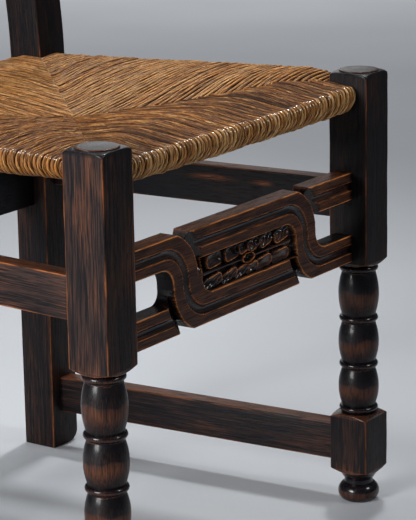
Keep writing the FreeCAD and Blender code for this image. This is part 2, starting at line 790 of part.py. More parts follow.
def rush_seat():
    """The woven block, hollow where its padding lies."""
    rooms = doc.addObject("Part::MultiFuse", "padding_rooms")
    rooms.Shapes = [padding(f"room_{place}", place, "rush_gap") for place in places]
    woven = doc.addObject("Part::Cut", "rush_seat")
    woven.Base = rush_block()
    woven.Tool = rooms
    doc.recompute()
    return woven


def main():
    pieces = [front_leg("front_leg_left", -1), front_leg("front_leg_right", 1)]
    pieces += [back_post("back_post_left", -1), back_post("back_post_right", 1)]
    pieces += [front_carved_rail()]
    pieces += [back_carved_rail(f"{rail}_rail", height) for rail, height in back_rail_heights.items()]
    pieces += [side_piece(kind, side) for kind in side_pieces for side in (-1, 1)]
    pieces += cross_pieces()
    pieces += [rush_seat()]
    pieces += [padding(f"rush_padding_{place}", place, "0") for place in places]
    doc.recompute()
    for item in doc.Objects:
        if {"Invalid", "Error"} & set(item.State):
            raise ValueError(f"{item.Label} failed: {item.State}")
    os.makedirs("parts", exist_ok=True)
    for piece in pieces:
        if piece.Shape.isNull() or not piece.Shape.isValid() or len(piece.Shape.Solids) != 1:
            raise ValueError(f"{piece.Label} is not one valid solid")
        piece.Shape.exportStep(f"parts/{piece.Label}.step")
        print(piece.Label, round(piece.Shape.Volume))


main()
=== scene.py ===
import math

import bpy
import numpy as np
from mathutils import Matrix, Vector


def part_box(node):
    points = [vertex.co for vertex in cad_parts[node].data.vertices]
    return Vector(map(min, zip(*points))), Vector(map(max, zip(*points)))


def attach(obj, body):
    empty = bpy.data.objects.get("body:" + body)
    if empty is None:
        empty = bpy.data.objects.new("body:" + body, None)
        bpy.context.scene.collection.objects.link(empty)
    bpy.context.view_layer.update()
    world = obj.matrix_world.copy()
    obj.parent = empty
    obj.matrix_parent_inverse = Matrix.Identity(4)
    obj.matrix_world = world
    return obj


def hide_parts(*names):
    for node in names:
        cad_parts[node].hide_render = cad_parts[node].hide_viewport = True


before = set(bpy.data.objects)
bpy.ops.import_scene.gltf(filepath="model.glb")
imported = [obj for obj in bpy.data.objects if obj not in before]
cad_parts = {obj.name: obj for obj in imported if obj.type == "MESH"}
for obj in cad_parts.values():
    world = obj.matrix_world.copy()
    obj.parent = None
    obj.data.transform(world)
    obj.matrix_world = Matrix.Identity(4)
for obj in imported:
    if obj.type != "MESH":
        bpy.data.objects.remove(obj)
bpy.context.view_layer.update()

mm = 0.001
rng = np.random.default_rng(41)

# plan of the chair that several pieces share, metres
chair = {
    "legHalf": 22.5 * mm,
    "postWidth": 45 * mm,
    "postDepth": 43 * mm,
    "rake": math.radians(5.9),
    "bendHeight": 440 * mm,
    "bendRadius": 700 * mm,
}
sides = ("left", "right")
crosswise = ("front", "back")  # edges of the seat that run across the chair
inwards = {"front": 1, "back": -1, "left": 1, "right": -1}
legBox = {side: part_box(f"front_leg_{side}") for side in sides}
postBox = {side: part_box(f"back_post_{side}") for side in sides}
legMid = {side: (low + high) / 2 for side, (low, high) in legBox.items()}
postMid = {
    side: Vector(((low.x + high.x) / 2, low.y + chair["postDepth"] / 2, 0))
    for side, (low, high) in postBox.items()
}


# shader maths: a value wraps a socket, so masks are written as plain expressions
class Val:
    def __init__(self, finish, socket):
        self.finish = finish
        self.socket = socket

    def __add__(self, other):
        return self.finish.maths("ADD", self, other)

    def __radd__(self, other):
        return self.finish.maths("ADD", other, self)

    def __sub__(self, other):
        return self.finish.maths("SUBTRACT", self, other)

    def __rsub__(self, other):
        return self.finish.maths("SUBTRACT", other, self)

    def __mul__(self, other):
        return self.finish.maths("MULTIPLY", self, other)

    def __rmul__(self, other):
        return self.finish.maths("MULTIPLY", other, self)

    def __abs__(self):
        return self.finish.maths("ABSOLUTE", self)

    def larger(self, other):
        return self.finish.maths("MAXIMUM", self, other)

    def between(self, low, high):
        values = {"Value": self, "From Min": low, "From Max": high}
        return self.finish.node("ShaderNodeMapRange", {"interpolation_type": "SMOOTHSTEP"}, values)


class Finish:
    def __init__(self, name):
        self.material = bpy.data.materials.new(name)
        self.material.use_nodes = True
        self.tree = self.material.node_tree
        self.tree.nodes.clear()

    def node(self, kind, settings=None, values=None, out=0):
        made = self.tree.nodes.new(kind)
        for key, setting in (settings or {}).items():
            setattr(made, key, setting)
        for key, value in (values or {}).items():
            if isinstance(value, Val):
                self.tree.links.new(value.socket, made.inputs[key])
            else:
                made.inputs[key].default_value = value
        return Val(self, made.outputs[out]) if made.outputs else None

    def maths(self, operation, *values):
        return self.node("ShaderNodeMath", {"operation": operation}, dict(enumerate(values)))

    def vectors(self, operation, first, second):
        return self.node("ShaderNodeVectorMath", {"operation": operation}, {0: first, 1: second})

    def attribute(self, name, out="Fac"):
        return self.node("ShaderNodeAttribute", {"attribute_name": name}, out=out)

    def objectPlace(self):
        return self.node("ShaderNodeTexCoord", out="Object")

    def part(self, vector, place):
        return self.node("ShaderNodeSeparateXYZ", values={0: vector}, out=place)

    def noise(self, vector, scale, detail, distortion=0.0):
        values = {"Vector": self.vectors("MULTIPLY", vector, scale), "Scale": 1.0, "Detail": detail}
        values.update({"Roughness": 0.55, "Distortion": distortion})
        return self.node("ShaderNodeTexNoise", values=values)

    def mix(self, mask, first, second):
        return self.node("ShaderNodeMix", {"data_type": "RGBA"}, {0: mask, 6: first, 7: second}, out=2)

    def bump(self, height, strength, distance):
        values = {"Height": height, "Strength": strength, "Distance": distance}
        return self.node("ShaderNodeBump", values=values)

    def surface(self, **values):
        sockets = {name.replace("_", " "): value for name, value in values.items()}
        shader = self.node("ShaderNodeBsdfPrincipled", values=sockets)
        self.node("ShaderNodeOutputMaterial", values={"Surface": shader})
        return self.material


def colour(red, green, blue):
    # screen values 0-255 to linear light
    linear = []
    for value in (red, green, blue):
        value /= 255
        linear.append(value / 12.92 if value <= 0.04045 else ((value + 0.055) / 1.055) ** 2.4)
    return (*linear, 1.0)


stain = {
    "black": colour(7, 8, 13),
    "brown": colour(55, 38, 33),
    "warm": colour(98, 60, 40),
    "worn": colour(178, 104, 56),
    "bare": colour(232, 146, 76),
    "warmShare": 0.6,
    "edgeWidth": (0.2 * mm, 2.0 * mm),
    "edgeWander": 3.0 * mm,
    "edgeLeast": 0.35,
    "bareWear": (0.55, 0.95),
    "boardShift": (7.3, 3.1, 5.7),
}


def stainedOak():
    # grainCo runs along the grain in x, halfSize holds the half section and a number for each board
    f = Finish("stained_oak_polish")
    grain = f.attribute("grainCo", "Vector")
    section = f.attribute("halfSize", "Vector")
    wearAndShade, gloss, tone = (f.attribute(name) for name in ("wearAndShade", "gloss", "tone"))
    seed = f.part(section, 2)
    shifts = {axis: seed * far for axis, far in enumerate(stain["boardShift"])}
    place = f.vectors("ADD", grain, f.node("ShaderNodeCombineXYZ", values=shifts))
    years = f.noise(place, (8, 330, 330), detail=3, distortion=0.6)
    fibre = f.noise(place, (26, 900, 900), detail=2)
    pores = f.noise(place, (60, 1500, 1500), detail=1)
    patches = f.noise(place, (11, 34, 34), detail=3)
    rubs = f.noise(place, (42, 170, 170), detail=4)
    streak = (years * 0.5 + fibre * 0.5).between(0.38, 0.64)
    pore = pores.between(0.55, 0.66)
    # tone darkens the stain; it also carries painted shade, lower on pieces and faces turned from the
    # lamps, and it dims their worn edges with it
    dark = f.mix(streak * tone, stain["black"], stain["brown"])
    warmth = (fibre * 0.45 + patches * 0.55).between(0.48, 0.66) * tone * stain["warmShare"]
    toned = f.mix(warmth, dark, stain["warm"])
    sideways = f.part(section, 0) - abs(f.part(grain, 1))
    upright = f.part(section, 1) - abs(f.part(grain, 2))
    fromEdge = sideways.larger(upright) + (rubs - 0.5) * stain["edgeWander"]
    nearEdge = (1 - fromEdge.between(*stain["edgeWidth"])) * patches.between(0.34, 0.56)
    edge = nearEdge * (stain["edgeLeast"] + tone * (1 - stain["edgeLeast"]))
    worn = edge.larger(wearAndShade) * (rubs * 0.55 + fibre * 0.45).between(0.3, 0.6)
    bare = f.mix(wearAndShade.between(*stain["bareWear"]), stain["worn"], stain["bare"])
    polished = f.mix(worn, toned, bare)
    # below 0 the wear value is painted shade: those places are mixed towards black
    shadeMask = (0 - wearAndShade).between(0.0, 1.0)
    shaded = f.mix(shadeMask * 0.9, polished, stain["black"])
    colourOut = f.mix(pore * 0.7, shaded, stain["black"])
    height = (fibre * 0.5 + years * 0.3 - pore * 0.7) * (1 - gloss * 0.75)
    return f.surface(
        Base_Color=colourOut,
        Roughness=0.46 - gloss * 0.24 + pore * 0.2 + (patches - 0.5) * 0.3,
        Specular_IOR_Level=0.14,
        Coat_Weight=0.02 + gloss * 0.36,
        Coat_Roughness=0.16,
        Normal=f.bump(height, 0.45, 0.5 * mm),
    )


rushTones = {
    # gap is the dark of the fibre splits, and also the colour that painted shade mixes in
    "gap": colour(30, 13, 6),
    "brown": colour(110, 62, 24),
    "gold": colour(190, 124, 56),
    "straw": colour(240, 194, 132),
}


def rush():
    # cordCo runs along each cord in x and round it in y and z; valley marks the lines between its strands
    f = Finish("rush_cord")
    cord = f.attribute("cordCo", "Vector")
    cordShade, shine, paleAndSheen = (f.attribute(name) for name in ("cordShade", "shine", "paleAndSheen"))
    valley = f.attribute("valley").between(0.35, 1.0)
    fibres = f.noise(cord, (120, 4.2, 4.2), detail=2)
    leaves = f.noise(cord, (48, 1.8, 1.8), detail=2)
    blotch = f.noise(cord, (7, 0.5, 0.5), detail=2)
    dashes = f.noise(cord, (190, 3.4, 3.4), detail=1)
    tone = (leaves * 0.5 + fibres * 0.4 + blotch * 0.3).between(0.47, 0.73)
    body = f.mix(tone, rushTones["brown"], rushTones["gold"])
    light = (fibres * 0.5 + leaves * 0.5).between(0.54, 0.66) * 0.9
    # cords pale towards straw: real bleaching, and painted sheen on the tops of the back and right fields
    pale = f.mix(light.larger(paleAndSheen), body, rushTones["straw"])
    split = (1 - fibres.between(0.31, 0.41)).larger(dashes.between(0.6, 0.67))
    # painted shade: the valleys between strands are darkened towards the gap colour
    lined = f.mix((split * 0.75).larger(valley * 0.92), pale, rushTones["gap"])
    # painted shade: the undersides of cords, the gaps between them and their ends at the seams
    colourOut = f.mix(cordShade, lined, rushTones["gap"])
    height = fibres * 0.5 + leaves * 0.4 - valley * 0.6 - split * 0.3
    return f.surface(
        Base_Color=colourOut,
        Roughness=0.3 + leaves * 0.25 + cordShade * 0.3,
        Specular_IOR_Level=0.15,
        Coat_Weight=shine * leaves.between(0.3, 0.5),
        Coat_Roughness=0.12,
        Coat_IOR=2.2,
        Normal=f.bump(height, 0.5, 0.6 * mm),
    )


def packedRush():
    f = Finish("packed_rush")
    stalks = f.noise(f.objectPlace(), (60, 900, 900), detail=3)
    body = f.mix(stalks.between(0.35, 0.7), rushTones["gap"], rushTones["brown"])
    return f.surface(Base_Color=body, Roughness=0.75 - stalks * 0.1, Normal=f.bump(stalks, 0.6, 1 * mm))


def rawOak():
    f = Finish("raw_oak")
    place = f.objectPlace()
    fibre = f.noise(place, (300, 300, 900), detail=3)
    years = f.noise(place, (40, 40, 160), detail=3)
    grain = (fibre * 0.5 + years * 0.5).between(0.35, 0.65)
    body = f.mix(grain, colour(120, 84, 50), colour(176, 134, 88))
    return f.surface(Base_Color=body, Roughness=0.7 - fibre * 0.1, Normal=f.bump(fibre, 0.3, 0.5 * mm))


def paleFloor():
    f = Finish("pale_floor")
    cloud = f.noise(f.objectPlace(), (1.5, 1.5, 1.5), detail=2)
    body = f.mix(cloud.between(0.3, 0.7), colour(178, 182, 187), colour(184, 187, 191))
    return f.surface(Base_Color=body, Roughness=0.55, Specular_IOR_Level=0.2)


oakFinish = stainedOak()
rushFinish = rush()
packedFinish = packedRush()
rawFinish = rawOak()
print("materials ready")


# modelling helpers
near = 0.1 * mm  # as close as this counts as on a face


def pick(*objects):
    bpy.ops.object.select_all(action="DESELECT")
    for obj in objects:
        obj.select_set(True)
        bpy.context.view_layer.objects.active = obj


def addShape(name, operator, **settings):
    pick()
    operator(**settings)
    made = bpy.context.object
    made.name = name
    return made


def addMesh(name, vertices, faces):
    mesh = bpy.data.meshes.new(name)
    mesh.from_pydata(vertices, [], faces)
    made = bpy.data.objects.new(name, mesh)
    bpy.context.scene.collection.objects.link(made)
    return made


def openMesh(obj):
    pick(obj)
    bpy.ops.object.mode_set(mode="EDIT")


def closeMesh():
    bpy.ops.object.mode_set(mode="OBJECT")


def closeOutward():
    bpy.ops.mesh.select_all(action="SELECT")
    bpy.ops.mesh.normals_make_consistent(inside=False)
    closeMesh()


def applyModifier(obj, kind, **settings):
    modifier = obj.modifiers.new(kind.lower(), kind)
    for key, setting in settings.items():
        setattr(modifier, key, setting)
    pick(obj)
    bpy.ops.object.modifier_apply(modifier=modifier.name)


def selectWhere(mesh, wanted):
    # vertices that pass, and the edges and faces whose corners all pass
    for vertex in mesh.vertices:
        vertex.select = wanted(vertex.co)
    for piece in (*mesh.edges, *mesh.polygons):
        piece.select = all(wanted(mesh.vertices[corner].co) for corner in piece.vertices)


def vertexPlaces(mesh):
    places = np.empty(len(mesh.vertices) * 3)
    mesh.vertices.foreach_get("co", places)
    return places.reshape(-1, 3)


def moveVertices(mesh, places):
    mesh.vertices.foreach_set("co", np.ascontiguousarray(places, dtype=float).ravel())
    mesh.update()


def setValues(mesh, name, values):
    # a number or a vector for each vertex
    kind, key = ("FLOAT", "value") if np.ndim(values) == 1 else ("FLOAT_VECTOR", "vector")
    layer = mesh.attributes.new(name, kind, "POINT")
    layer.data.foreach_set(key, np.ascontiguousarray(values, dtype=np.float32).ravel())


def setGrain(mesh, grain, halfSize, wearAndShade=0.0, gloss=0.0, tone=1.0):
    count = len(mesh.vertices)
    setValues(mesh, "grainCo", grain)
    setValues(mesh, "halfSize", np.tile((*halfSize, rng.random()), (count, 1)))
    for name, values in (("wearAndShade", wearAndShade), ("gloss", gloss), ("tone", tone)):
        setValues(mesh, name, np.broadcast_to(values, count))


def placePiece(obj, material, slot, *nodes, smooth=32):
    pick(obj)
    bpy.ops.object.transform_apply(location=True, rotation=True, scale=True)
    bpy.ops.object.shade_smooth_by_angle(angle=math.radians(smooth))
    obj.data.materials.clear()
    obj.data.materials.append(material)
    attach(obj, "root")
    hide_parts(*nodes)
    print("made", obj.name, len(obj.data.polygons), "faces")


def ramp(value, low, high):
    share = np.clip((value - low) / (high - low), 0, 1)
    return share * share * (3 - 2 * share)


def fall(value, low, high):
    return ramp(-value, -high, -low)


# plain boards: side rails, low stretchers and the rail between the posts
boards = {
    "edge": 1.6 * mm,
    "edgeSteps": 3,
    "tenonIn": 6 * mm,
    "topRubAndSheen": 0.25,
    "scuffed": 0.5,
    "scuffCuts": 60,
    # the tones per side are painted light and shade: the left pieces face the lamps and are lighter, the
    # right ones and the rail under the seat darker
    "side_rail": {"thickness": 20 * mm, "inset": 7 * mm, "tone": {"left": 1.4, "right": 0.12}},
    "low_stretcher": {"thickness": 21 * mm, "inset": 9 * mm, "tone": {"left": 0.7, "right": 0.45}},
    "back_under_rail": {"thickness": 20 * mm, "tone": 0.03},
}
# pale scuffs on an inner face: place along and up from its middle, and half sizes
scuffs = {
    "side_rail_right": [
        (-24 * mm, 8 * mm, 20 * mm, 2.4 * mm),
        (-88 * mm, 7 * mm, 9 * mm, 2.2 * mm),
    ],
}


def scuffWear(places, marks):
    wearAndShade = np.zeros(len(places))
    for along, up, halfLong, halfHigh in marks:
        apart = ((places[:, 0] - along) / halfLong) ** 2 + ((places[:, 2] - up) / halfHigh) ** 2
        wearAndShade = np.maximum(wearAndShade, boards["scuffed"] * np.exp(-apart))
    return np.where(places[:, 1] > 0, wearAndShade, 0.0)


def addBoard(name, start, end, low, high, thickness, tone=1.0, marks=()):
    # start and end are the plan points of its middle line
    run = end - start
    halfThick, halfHigh = thickness / 2, (high - low) / 2
    board = addShape(name, bpy.ops.mesh.primitive_cube_add, size=1)
    openMesh(board)
    bpy.ops.transform.resize(value=(run.length + 2 * boards["tenonIn"], thickness, high - low))
    bpy.ops.mesh.bevel(offset=boards["edge"], segments=boards["edgeSteps"], affect="EDGES")
    closeMesh()
    if marks:
        selectWhere(board.data, lambda place: place.y > halfThick - near)
        openMesh(board)
        bpy.ops.mesh.subdivide(number_cuts=boards["scuffCuts"])
        closeMesh()
    places = vertexPlaces(board.data)
    # top faces are lighter: partly rubbed, partly painted sheen from the lamps above
    rubbed = np.where(places[:, 2] > halfHigh - near, boards["topRubAndSheen"], 0.0)
    wearAndShade = np.maximum(rubbed, scuffWear(places, marks))
    setGrain(board.data, places, (halfThick, halfHigh), wearAndShade, tone=tone)
    middle = (start + end) / 2
    board.location = (middle.x, middle.y, (low + high) / 2)
    board.rotation_euler.z = math.atan2(run.y, run.x)
    return board


def sideLine(side, inset):
    # plan line along the outer faces of a leg and its post, moved in
    leg, post = legMid[side], postMid[side]
    legIn = inwards[side] * (inset - chair["legHalf"])
    postIn = inwards[side] * (inset - chair["postWidth"] / 2)
    start = Vector((leg.x + legIn, leg.y + chair["legHalf"]))
    end = Vector((post.x + postIn, post.y - chair["postDepth"] / 2))
    return start, end


for kind in ("side_rail", "low_stretcher"):
    sizes = boards[kind]
    for side in sides:
        node = f"{kind}_{side}"
        low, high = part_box(node)
        start, end = sideLine(side, sizes["inset"] + sizes["thickness"] / 2)
        board = addBoard(f"{node}_board", start, end, low.z, high.z, sizes["thickness"],
                         sizes["tone"][side], scuffs.get(node, ()))
        placePiece(board, oakFinish, "stained_oak", node)

low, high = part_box("back_under_rail")
backLine = (low.y + high.y) / 2
start = Vector((postMid["left"].x + chair["postWidth"] / 2, backLine))
end = Vector((postMid["right"].x - chair["postWidth"] / 2, backLine))
sizes = boards["back_under_rail"]
board = addBoard("back_under_rail_board", start, end, low.z, high.z, sizes["thickness"], sizes["tone"])
placePiece(board, oakFinish, "stained_oak", "back_under_rail")


# back posts: a straight foot, a bend and a raked upper part
posts = {
    "edge": 1.8 * mm,
    "edgeSteps": 3,
    "edgeAngle": math.radians(40),
    "topRound": 8 * mm,
    "footRound": 13 * mm,
    "roundSteps": 5,
    "bendSteps": 10,
    "tone": 0.45,
}


def postCoordinates(places, middle):
    # distance up the post, across it and through it, for grain that follows the bend
    behind = middle.y + chair["bendRadius"]
    dy, dz = places[:, 1] - behind, places[:, 2] - chair["bendHeight"]
    turn = np.clip(np.arctan2(dz, -dy), 0, chair["rake"])
    arc = chair["bendRadius"] * turn
    centreY = behind - chair["bendRadius"] * np.cos(turn)
    centreZ = chair["bendHeight"] + chair["bendRadius"] * np.sin(turn)
    offY, offZ = places[:, 1] - centreY, places[:, 2] - centreZ
    up = offY * np.sin(turn) + offZ * np.cos(turn)
    through = offY * np.cos(turn) - offZ * np.sin(turn)
    return np.column_stack((arc + up, places[:, 0] - middle.x, through))


def addPost(side):
    middle, top = postMid[side], postBox[side][1].z
    width, depth, bend = chair["postWidth"], chair["postDepth"], chair["bendHeight"]
    post = addShape(f"back_post_{side}_turned_back", bpy.ops.mesh.primitive_cube_add, size=1)
    openMesh(post)
    bpy.ops.transform.resize(value=(width, depth, bend))
    bpy.ops.transform.translate(value=(middle.x, middle.y, bend / 2))
    closeMesh()
    selectWhere(post.data, lambda place: place.z > bend / 2)
    openMesh(post)
    bpy.ops.mesh.select_mode(type="FACE")
    bpy.ops.mesh.spin(steps=posts["bendSteps"], angle=chair["rake"], axis=(1, 0, 0),
                      center=(middle.x, middle.y + chair["bendRadius"], bend))
    rise = top - bend - chair["bendRadius"] * math.sin(chair["rake"])
    lean = (0, rise * math.tan(chair["rake"]), rise)
    bpy.ops.mesh.extrude_region_move(TRANSFORM_OT_translate={"value": lean})
    bpy.ops.transform.resize(value=(1, 1, 0))
    bpy.ops.mesh.bevel(offset=posts["topRound"], segments=posts["roundSteps"], affect="EDGES")
    closeMesh()
    edgeX = middle.x - inwards[side] * width / 2
    selectWhere(post.data, lambda place: place.z < mm and abs(place.x - edgeX) < mm)
    openMesh(post)
    bpy.ops.mesh.select_mode(type="EDGE")
    bpy.ops.mesh.bevel(offset=posts["footRound"], segments=posts["roundSteps"], affect="EDGES")
    closeOutward()
    applyModifier(post, "BEVEL", width=posts["edge"], segments=posts["edgeSteps"],
                  angle_limit=posts["edgeAngle"])
    grain = postCoordinates(vertexPlaces(post.data), middle)
    setGrain(post.data, grain, (width / 2, depth / 2), tone=posts["tone"])
    return post


for side in sides:
    placePiece(addPost(side), oakFinish, "stained_oak", f"back_post_{side}")


# front legs: square stock turned on a lathe, wrapped from a grid so the arrises can be worn soft
turning = {
    "stock": 22.5 * mm,
    "squareness": 34,
    "softness": 1.6 * mm,
    "perQuarter": 28,
    "crowding": 1.35,
    "wander": 0.006,
    "step": 1.1 * mm,
    "blockStep": 9 * mm,
    "clear": 36 * mm,
    "corner": 31.8 * mm,
    "shoulder": 21 * mm,
    "shoulderRise": 4.5 * mm,
    "quirk": 17.7 * mm,
    "beadRise": 3.1 * mm,
    "barrelRise": 3.9 * mm,
    "beadHalf": 3.2 * mm,
    "collar": 1.6 * mm,
    "collarOut": 0.6 * mm,
    "collarFillet": 0.4 * mm,
    "beads": [104.6 * mm, 153.6 * mm, 204.6 * mm, 260 * mm],
    "lowerBlock": (37 * mm, 95.5 * mm),
    "upperBlockLow": 268.5 * mm,
    "bunFoot": 17 * mm,
    "bunRise": 6 * mm,
    "bunHeight": 20 * mm,
    "neck": 15.5 * mm,
    "neckHeight": 4 * mm,
    "disc": 20.6 * mm,
    "discDrop": 6.5 * mm,
    "discRise": 1.3 * mm,
    "discEdge": 0.6 * mm,
    "coveSteps": 9,
    "crown": 0.5 * mm,
    "crownHole": 0.4 * mm,
    "topSteps": (0.35 * mm, 0.3 * mm, 2.5 * mm),  # side of the disc, its edge, the crown
    # these tones are painted light and shade: faces towards the left lamp lighter, front faces and the
    # whole right leg darker, the right leg's wear dimmed too
    "shadedFrontTone": {"left": 0.5, "right": 0.25},
    "litSideTone": {"left": 0.9, "right": 0.05},
    "turnedToneAndShade": {"left": 0.3, "right": 0.15},
    "rubbed": {"left": 1.0, "right": 0.7},
    "wornPlace": (-0.15, 0.38),  # middle and spread of the wear on a swelling
    "upperShadeFrom": 0.12,
    "topGloss": 0.4,
    "barrelGloss": 0.45,
    "crease": 0.5,
    "creaseWidth": 1.5 * mm,
    "sway": 1.5 * mm,
    "merge": 0.01 * mm,
}
# how rubbed each place is, with painted shade where below 0 (the quirks, neck and cove), and how much
# painted shade darkens a swelling towards its upper end
wearAndShadeAt = {
    "foot": 0.1, "bun": 0.15, "neck": -0.5, "ankle": -0.2, "arris": 0.2, "upperArris": 0.1, "quirk": -0.6,
    "bead": 0.08, "barrel": 0.18, "collar": 0.2, "cove": -0.5, "discSide": -0.3, "discEdge": 0.3,
}
upperShade = {"bead": 0.5, "barrel": 0.9}


def turnedLine(top):
    # stations up the leg: height, turned radius and how rubbed the place is, with painted shade below 0
    t = turning
    line = [(0.0, t["bunFoot"], wearAndShadeAt["foot"])]

    def straight(radius, height, rub=0.0, step=t["step"]):
        lastHeight, lastRadius = line[-1][:2]
        count = max(1, round(math.hypot(height - lastHeight, radius - lastRadius) / step))
        for share in np.linspace(0, 1, count + 1)[1:]:
            line.append((lastHeight + (height - lastHeight) * share,
                         lastRadius + (radius - lastRadius) * share, rub))

    def swell(radius, height, rise, rub, black):
        lastHeight, lastRadius = line[-1][:2]
        chord = height - lastHeight
        size = ((chord / 2) ** 2 + rise ** 2) / (2 * rise)
        half = math.asin(min(1, chord / 2 / size))
        half = math.pi - half if rise > chord / 2 else half
        count = max(6, round(2 * half * size / t["step"]))
        wornAt, wornSpread = t["wornPlace"]
        for share in np.linspace(-1, 1, count + 1)[1:]:
            base = lastRadius + (radius - lastRadius) * (share + 1) / 2
            out = size * (math.cos(half * share) - math.cos(half))
            worn = rub * math.exp(-((share - wornAt) / wornSpread) ** 2)
            # painted shade darkens each swelling from just above its middle up to its upper end
            line.append((lastHeight + chord / 2 + size * math.sin(half * share), base + out,
                         worn - black * max(0, share - t["upperShadeFrom"])))

    def addBead(middle):
        straight(t["quirk"], middle - t["beadHalf"], wearAndShadeAt["quirk"])
        swell(t["quirk"], middle + t["beadHalf"], t["beadRise"], wearAndShadeAt["bead"], upperShade["bead"])

    swell(t["neck"], t["bunHeight"], t["bunRise"], wearAndShadeAt["bun"], upperShade["bead"])
    straight(t["neck"], t["bunHeight"] + t["neckHeight"], wearAndShadeAt["neck"])
    low, high = t["lowerBlock"]
    straight(t["shoulder"], low - t["shoulderRise"], wearAndShadeAt["ankle"])
    straight(t["corner"], low, wearAndShadeAt["arris"])
    straight(t["clear"], low)
    straight(t["clear"], high, step=t["blockStep"])
    straight(t["corner"], high)
    straight(t["shoulder"], high + t["shoulderRise"], wearAndShadeAt["arris"])
    addBead(t["beads"][0])
    for bead in t["beads"][1:]:
        collarTop = bead - t["beadHalf"]
        collarLow = collarTop - t["collar"]
        swell(t["quirk"], collarLow, t["barrelRise"], wearAndShadeAt["barrel"], upperShade["barrel"])
        straight(t["quirk"] + t["collarOut"], collarLow, wearAndShadeAt["collar"])
        straight(t["quirk"] + t["collarOut"], collarTop - t["collarFillet"], wearAndShadeAt["collar"])
        addBead(bead)
    low, high = t["upperBlockLow"], top - t["discDrop"]
    straight(t["shoulder"], low - t["shoulderRise"], wearAndShadeAt["quirk"])
    straight(t["corner"], low, wearAndShadeAt["upperArris"])
    straight(t["clear"], low)
    straight(t["clear"], high, step=t["blockStep"])
    straight(t["corner"], high)
    for share in np.linspace(0, math.pi / 2, t["coveSteps"] + 1)[1:]:
        line.append((high + (t["discDrop"] - t["discRise"]) * math.sin(share),
                     t["disc"] + (t["corner"] - t["disc"]) * math.cos(share), wearAndShadeAt["cove"]))
    sideStep, edgeStep, crownStep = t["topSteps"]
    straight(t["disc"], top - t["discEdge"], wearAndShadeAt["discSide"], sideStep)
    straight(t["disc"] - t["discEdge"], top, wearAndShadeAt["discEdge"], edgeStep)
    straight(t["crownHole"], top + t["crown"], step=crownStep)
    return np.array(line)


def softMin(first, second, width):
    share = np.clip(0.5 + 0.5 * (second - first) / width, 0, 1)
    return second + (first - second) * share - width * share * (1 - share)


def legAngles():
    # columns of the grid, closer together at the arrises
    quarter = np.linspace(-1, 1, turning["perQuarter"] + 1)[:-1]
    spread = np.sign(quarter) * (1 - (1 - np.abs(quarter)) ** turning["crowding"]) * math.pi / 4
    turns = [spread + turn * math.pi / 2 for turn in range(4)]
    return np.concatenate(turns + [[2 * math.pi - math.pi / 4]])


def addLeg(side):
    t = turning
    middle = legMid[side]
    line, angles = turnedLine(legBox[side][1].z), legAngles()
    leg = addShape(f"front_leg_{side}_turned", bpy.ops.mesh.primitive_grid_add,
                   x_subdivisions=len(angles) - 1, y_subdivisions=len(line) - 1, size=2)
    grid = vertexPlaces(leg.data)
    column = np.rint((grid[:, 0] + 1) / 2 * (len(angles) - 1)).astype(int)
    row = np.rint((grid[:, 1] + 1) / 2 * (len(line) - 1)).astype(int)
    angle, height, turned, rub = angles[column], line[row, 0], line[row, 1], line[row, 2]
    power = t["squareness"]
    square = (np.abs(np.cos(angle)) ** power + np.abs(np.sin(angle)) ** power) ** (-1 / power)
    # the sawn faces and the worn places wander in slow waves
    waves = np.sin(height * 41 + 3 * np.cos(angle)) * np.sin(height * 97 + 2 * angle)
    sway = t["sway"] * (np.sin(3 * angle + 61 * height) + 0.6 * np.sin(7 * angle + 143 * height))
    square = t["stock"] * square * (1 + t["wander"] * waves)
    radius = softMin(square, turned, t["softness"])
    places = np.column_stack((middle.x + radius * np.cos(angle), middle.y + radius * np.sin(angle), height))
    moveVertices(leg.data, places)
    grain = places[:, [2, 0, 1]] - (0, middle.x, middle.y)
    onArris = np.exp(-((square - turned) / t["creaseWidth"]) ** 2) * (turned > t["stock"])
    crease = onArris * t["crease"]
    fromBead = np.min(np.abs(height[:, None] - np.array(t["beads"])[None, :]), axis=1)
    isTop = height > line[-1, 0] - t["discDrop"]
    isBarrel = (fromBead > t["beadHalf"]) & (height > t["beads"][0]) & (height < t["beads"][-1])
    rub = np.where(isBarrel, np.interp(height + sway, line[:, 0], line[:, 2]), rub)
    wearAndShade = np.where(np.abs(rub) > crease, rub, crease)
    wearAndShade = np.where(wearAndShade > 0, wearAndShade * t["rubbed"][side], wearAndShade)
    turnedGloss = np.where(isTop, t["topGloss"], np.where(isBarrel, t["barrelGloss"], 1.0))
    gloss = np.where(turned < t["corner"] - mm, turnedGloss, 0.0)
    # painted light: faces towards ±x are lighter than faces towards ±y
    blockLightTone = t["shadedFrontTone"][side] + t["litSideTone"][side] * np.cos(angle) ** 2
    tone = np.where(gloss > 0, t["turnedToneAndShade"][side], blockLightTone)
    setGrain(leg.data, grain, (t["stock"], t["stock"]), wearAndShade, gloss, tone)
    openMesh(leg)
    bpy.ops.mesh.select_all(action="SELECT")
    bpy.ops.mesh.remove_doubles(threshold=t["merge"])
    bpy.ops.mesh.fill_holes(sides=0)
    closeOutward()
    return leg


for side in sides:
    placePiece(addLeg(side), oakFinish, "stained_oak", f"front_leg_{side}", smooth=50)


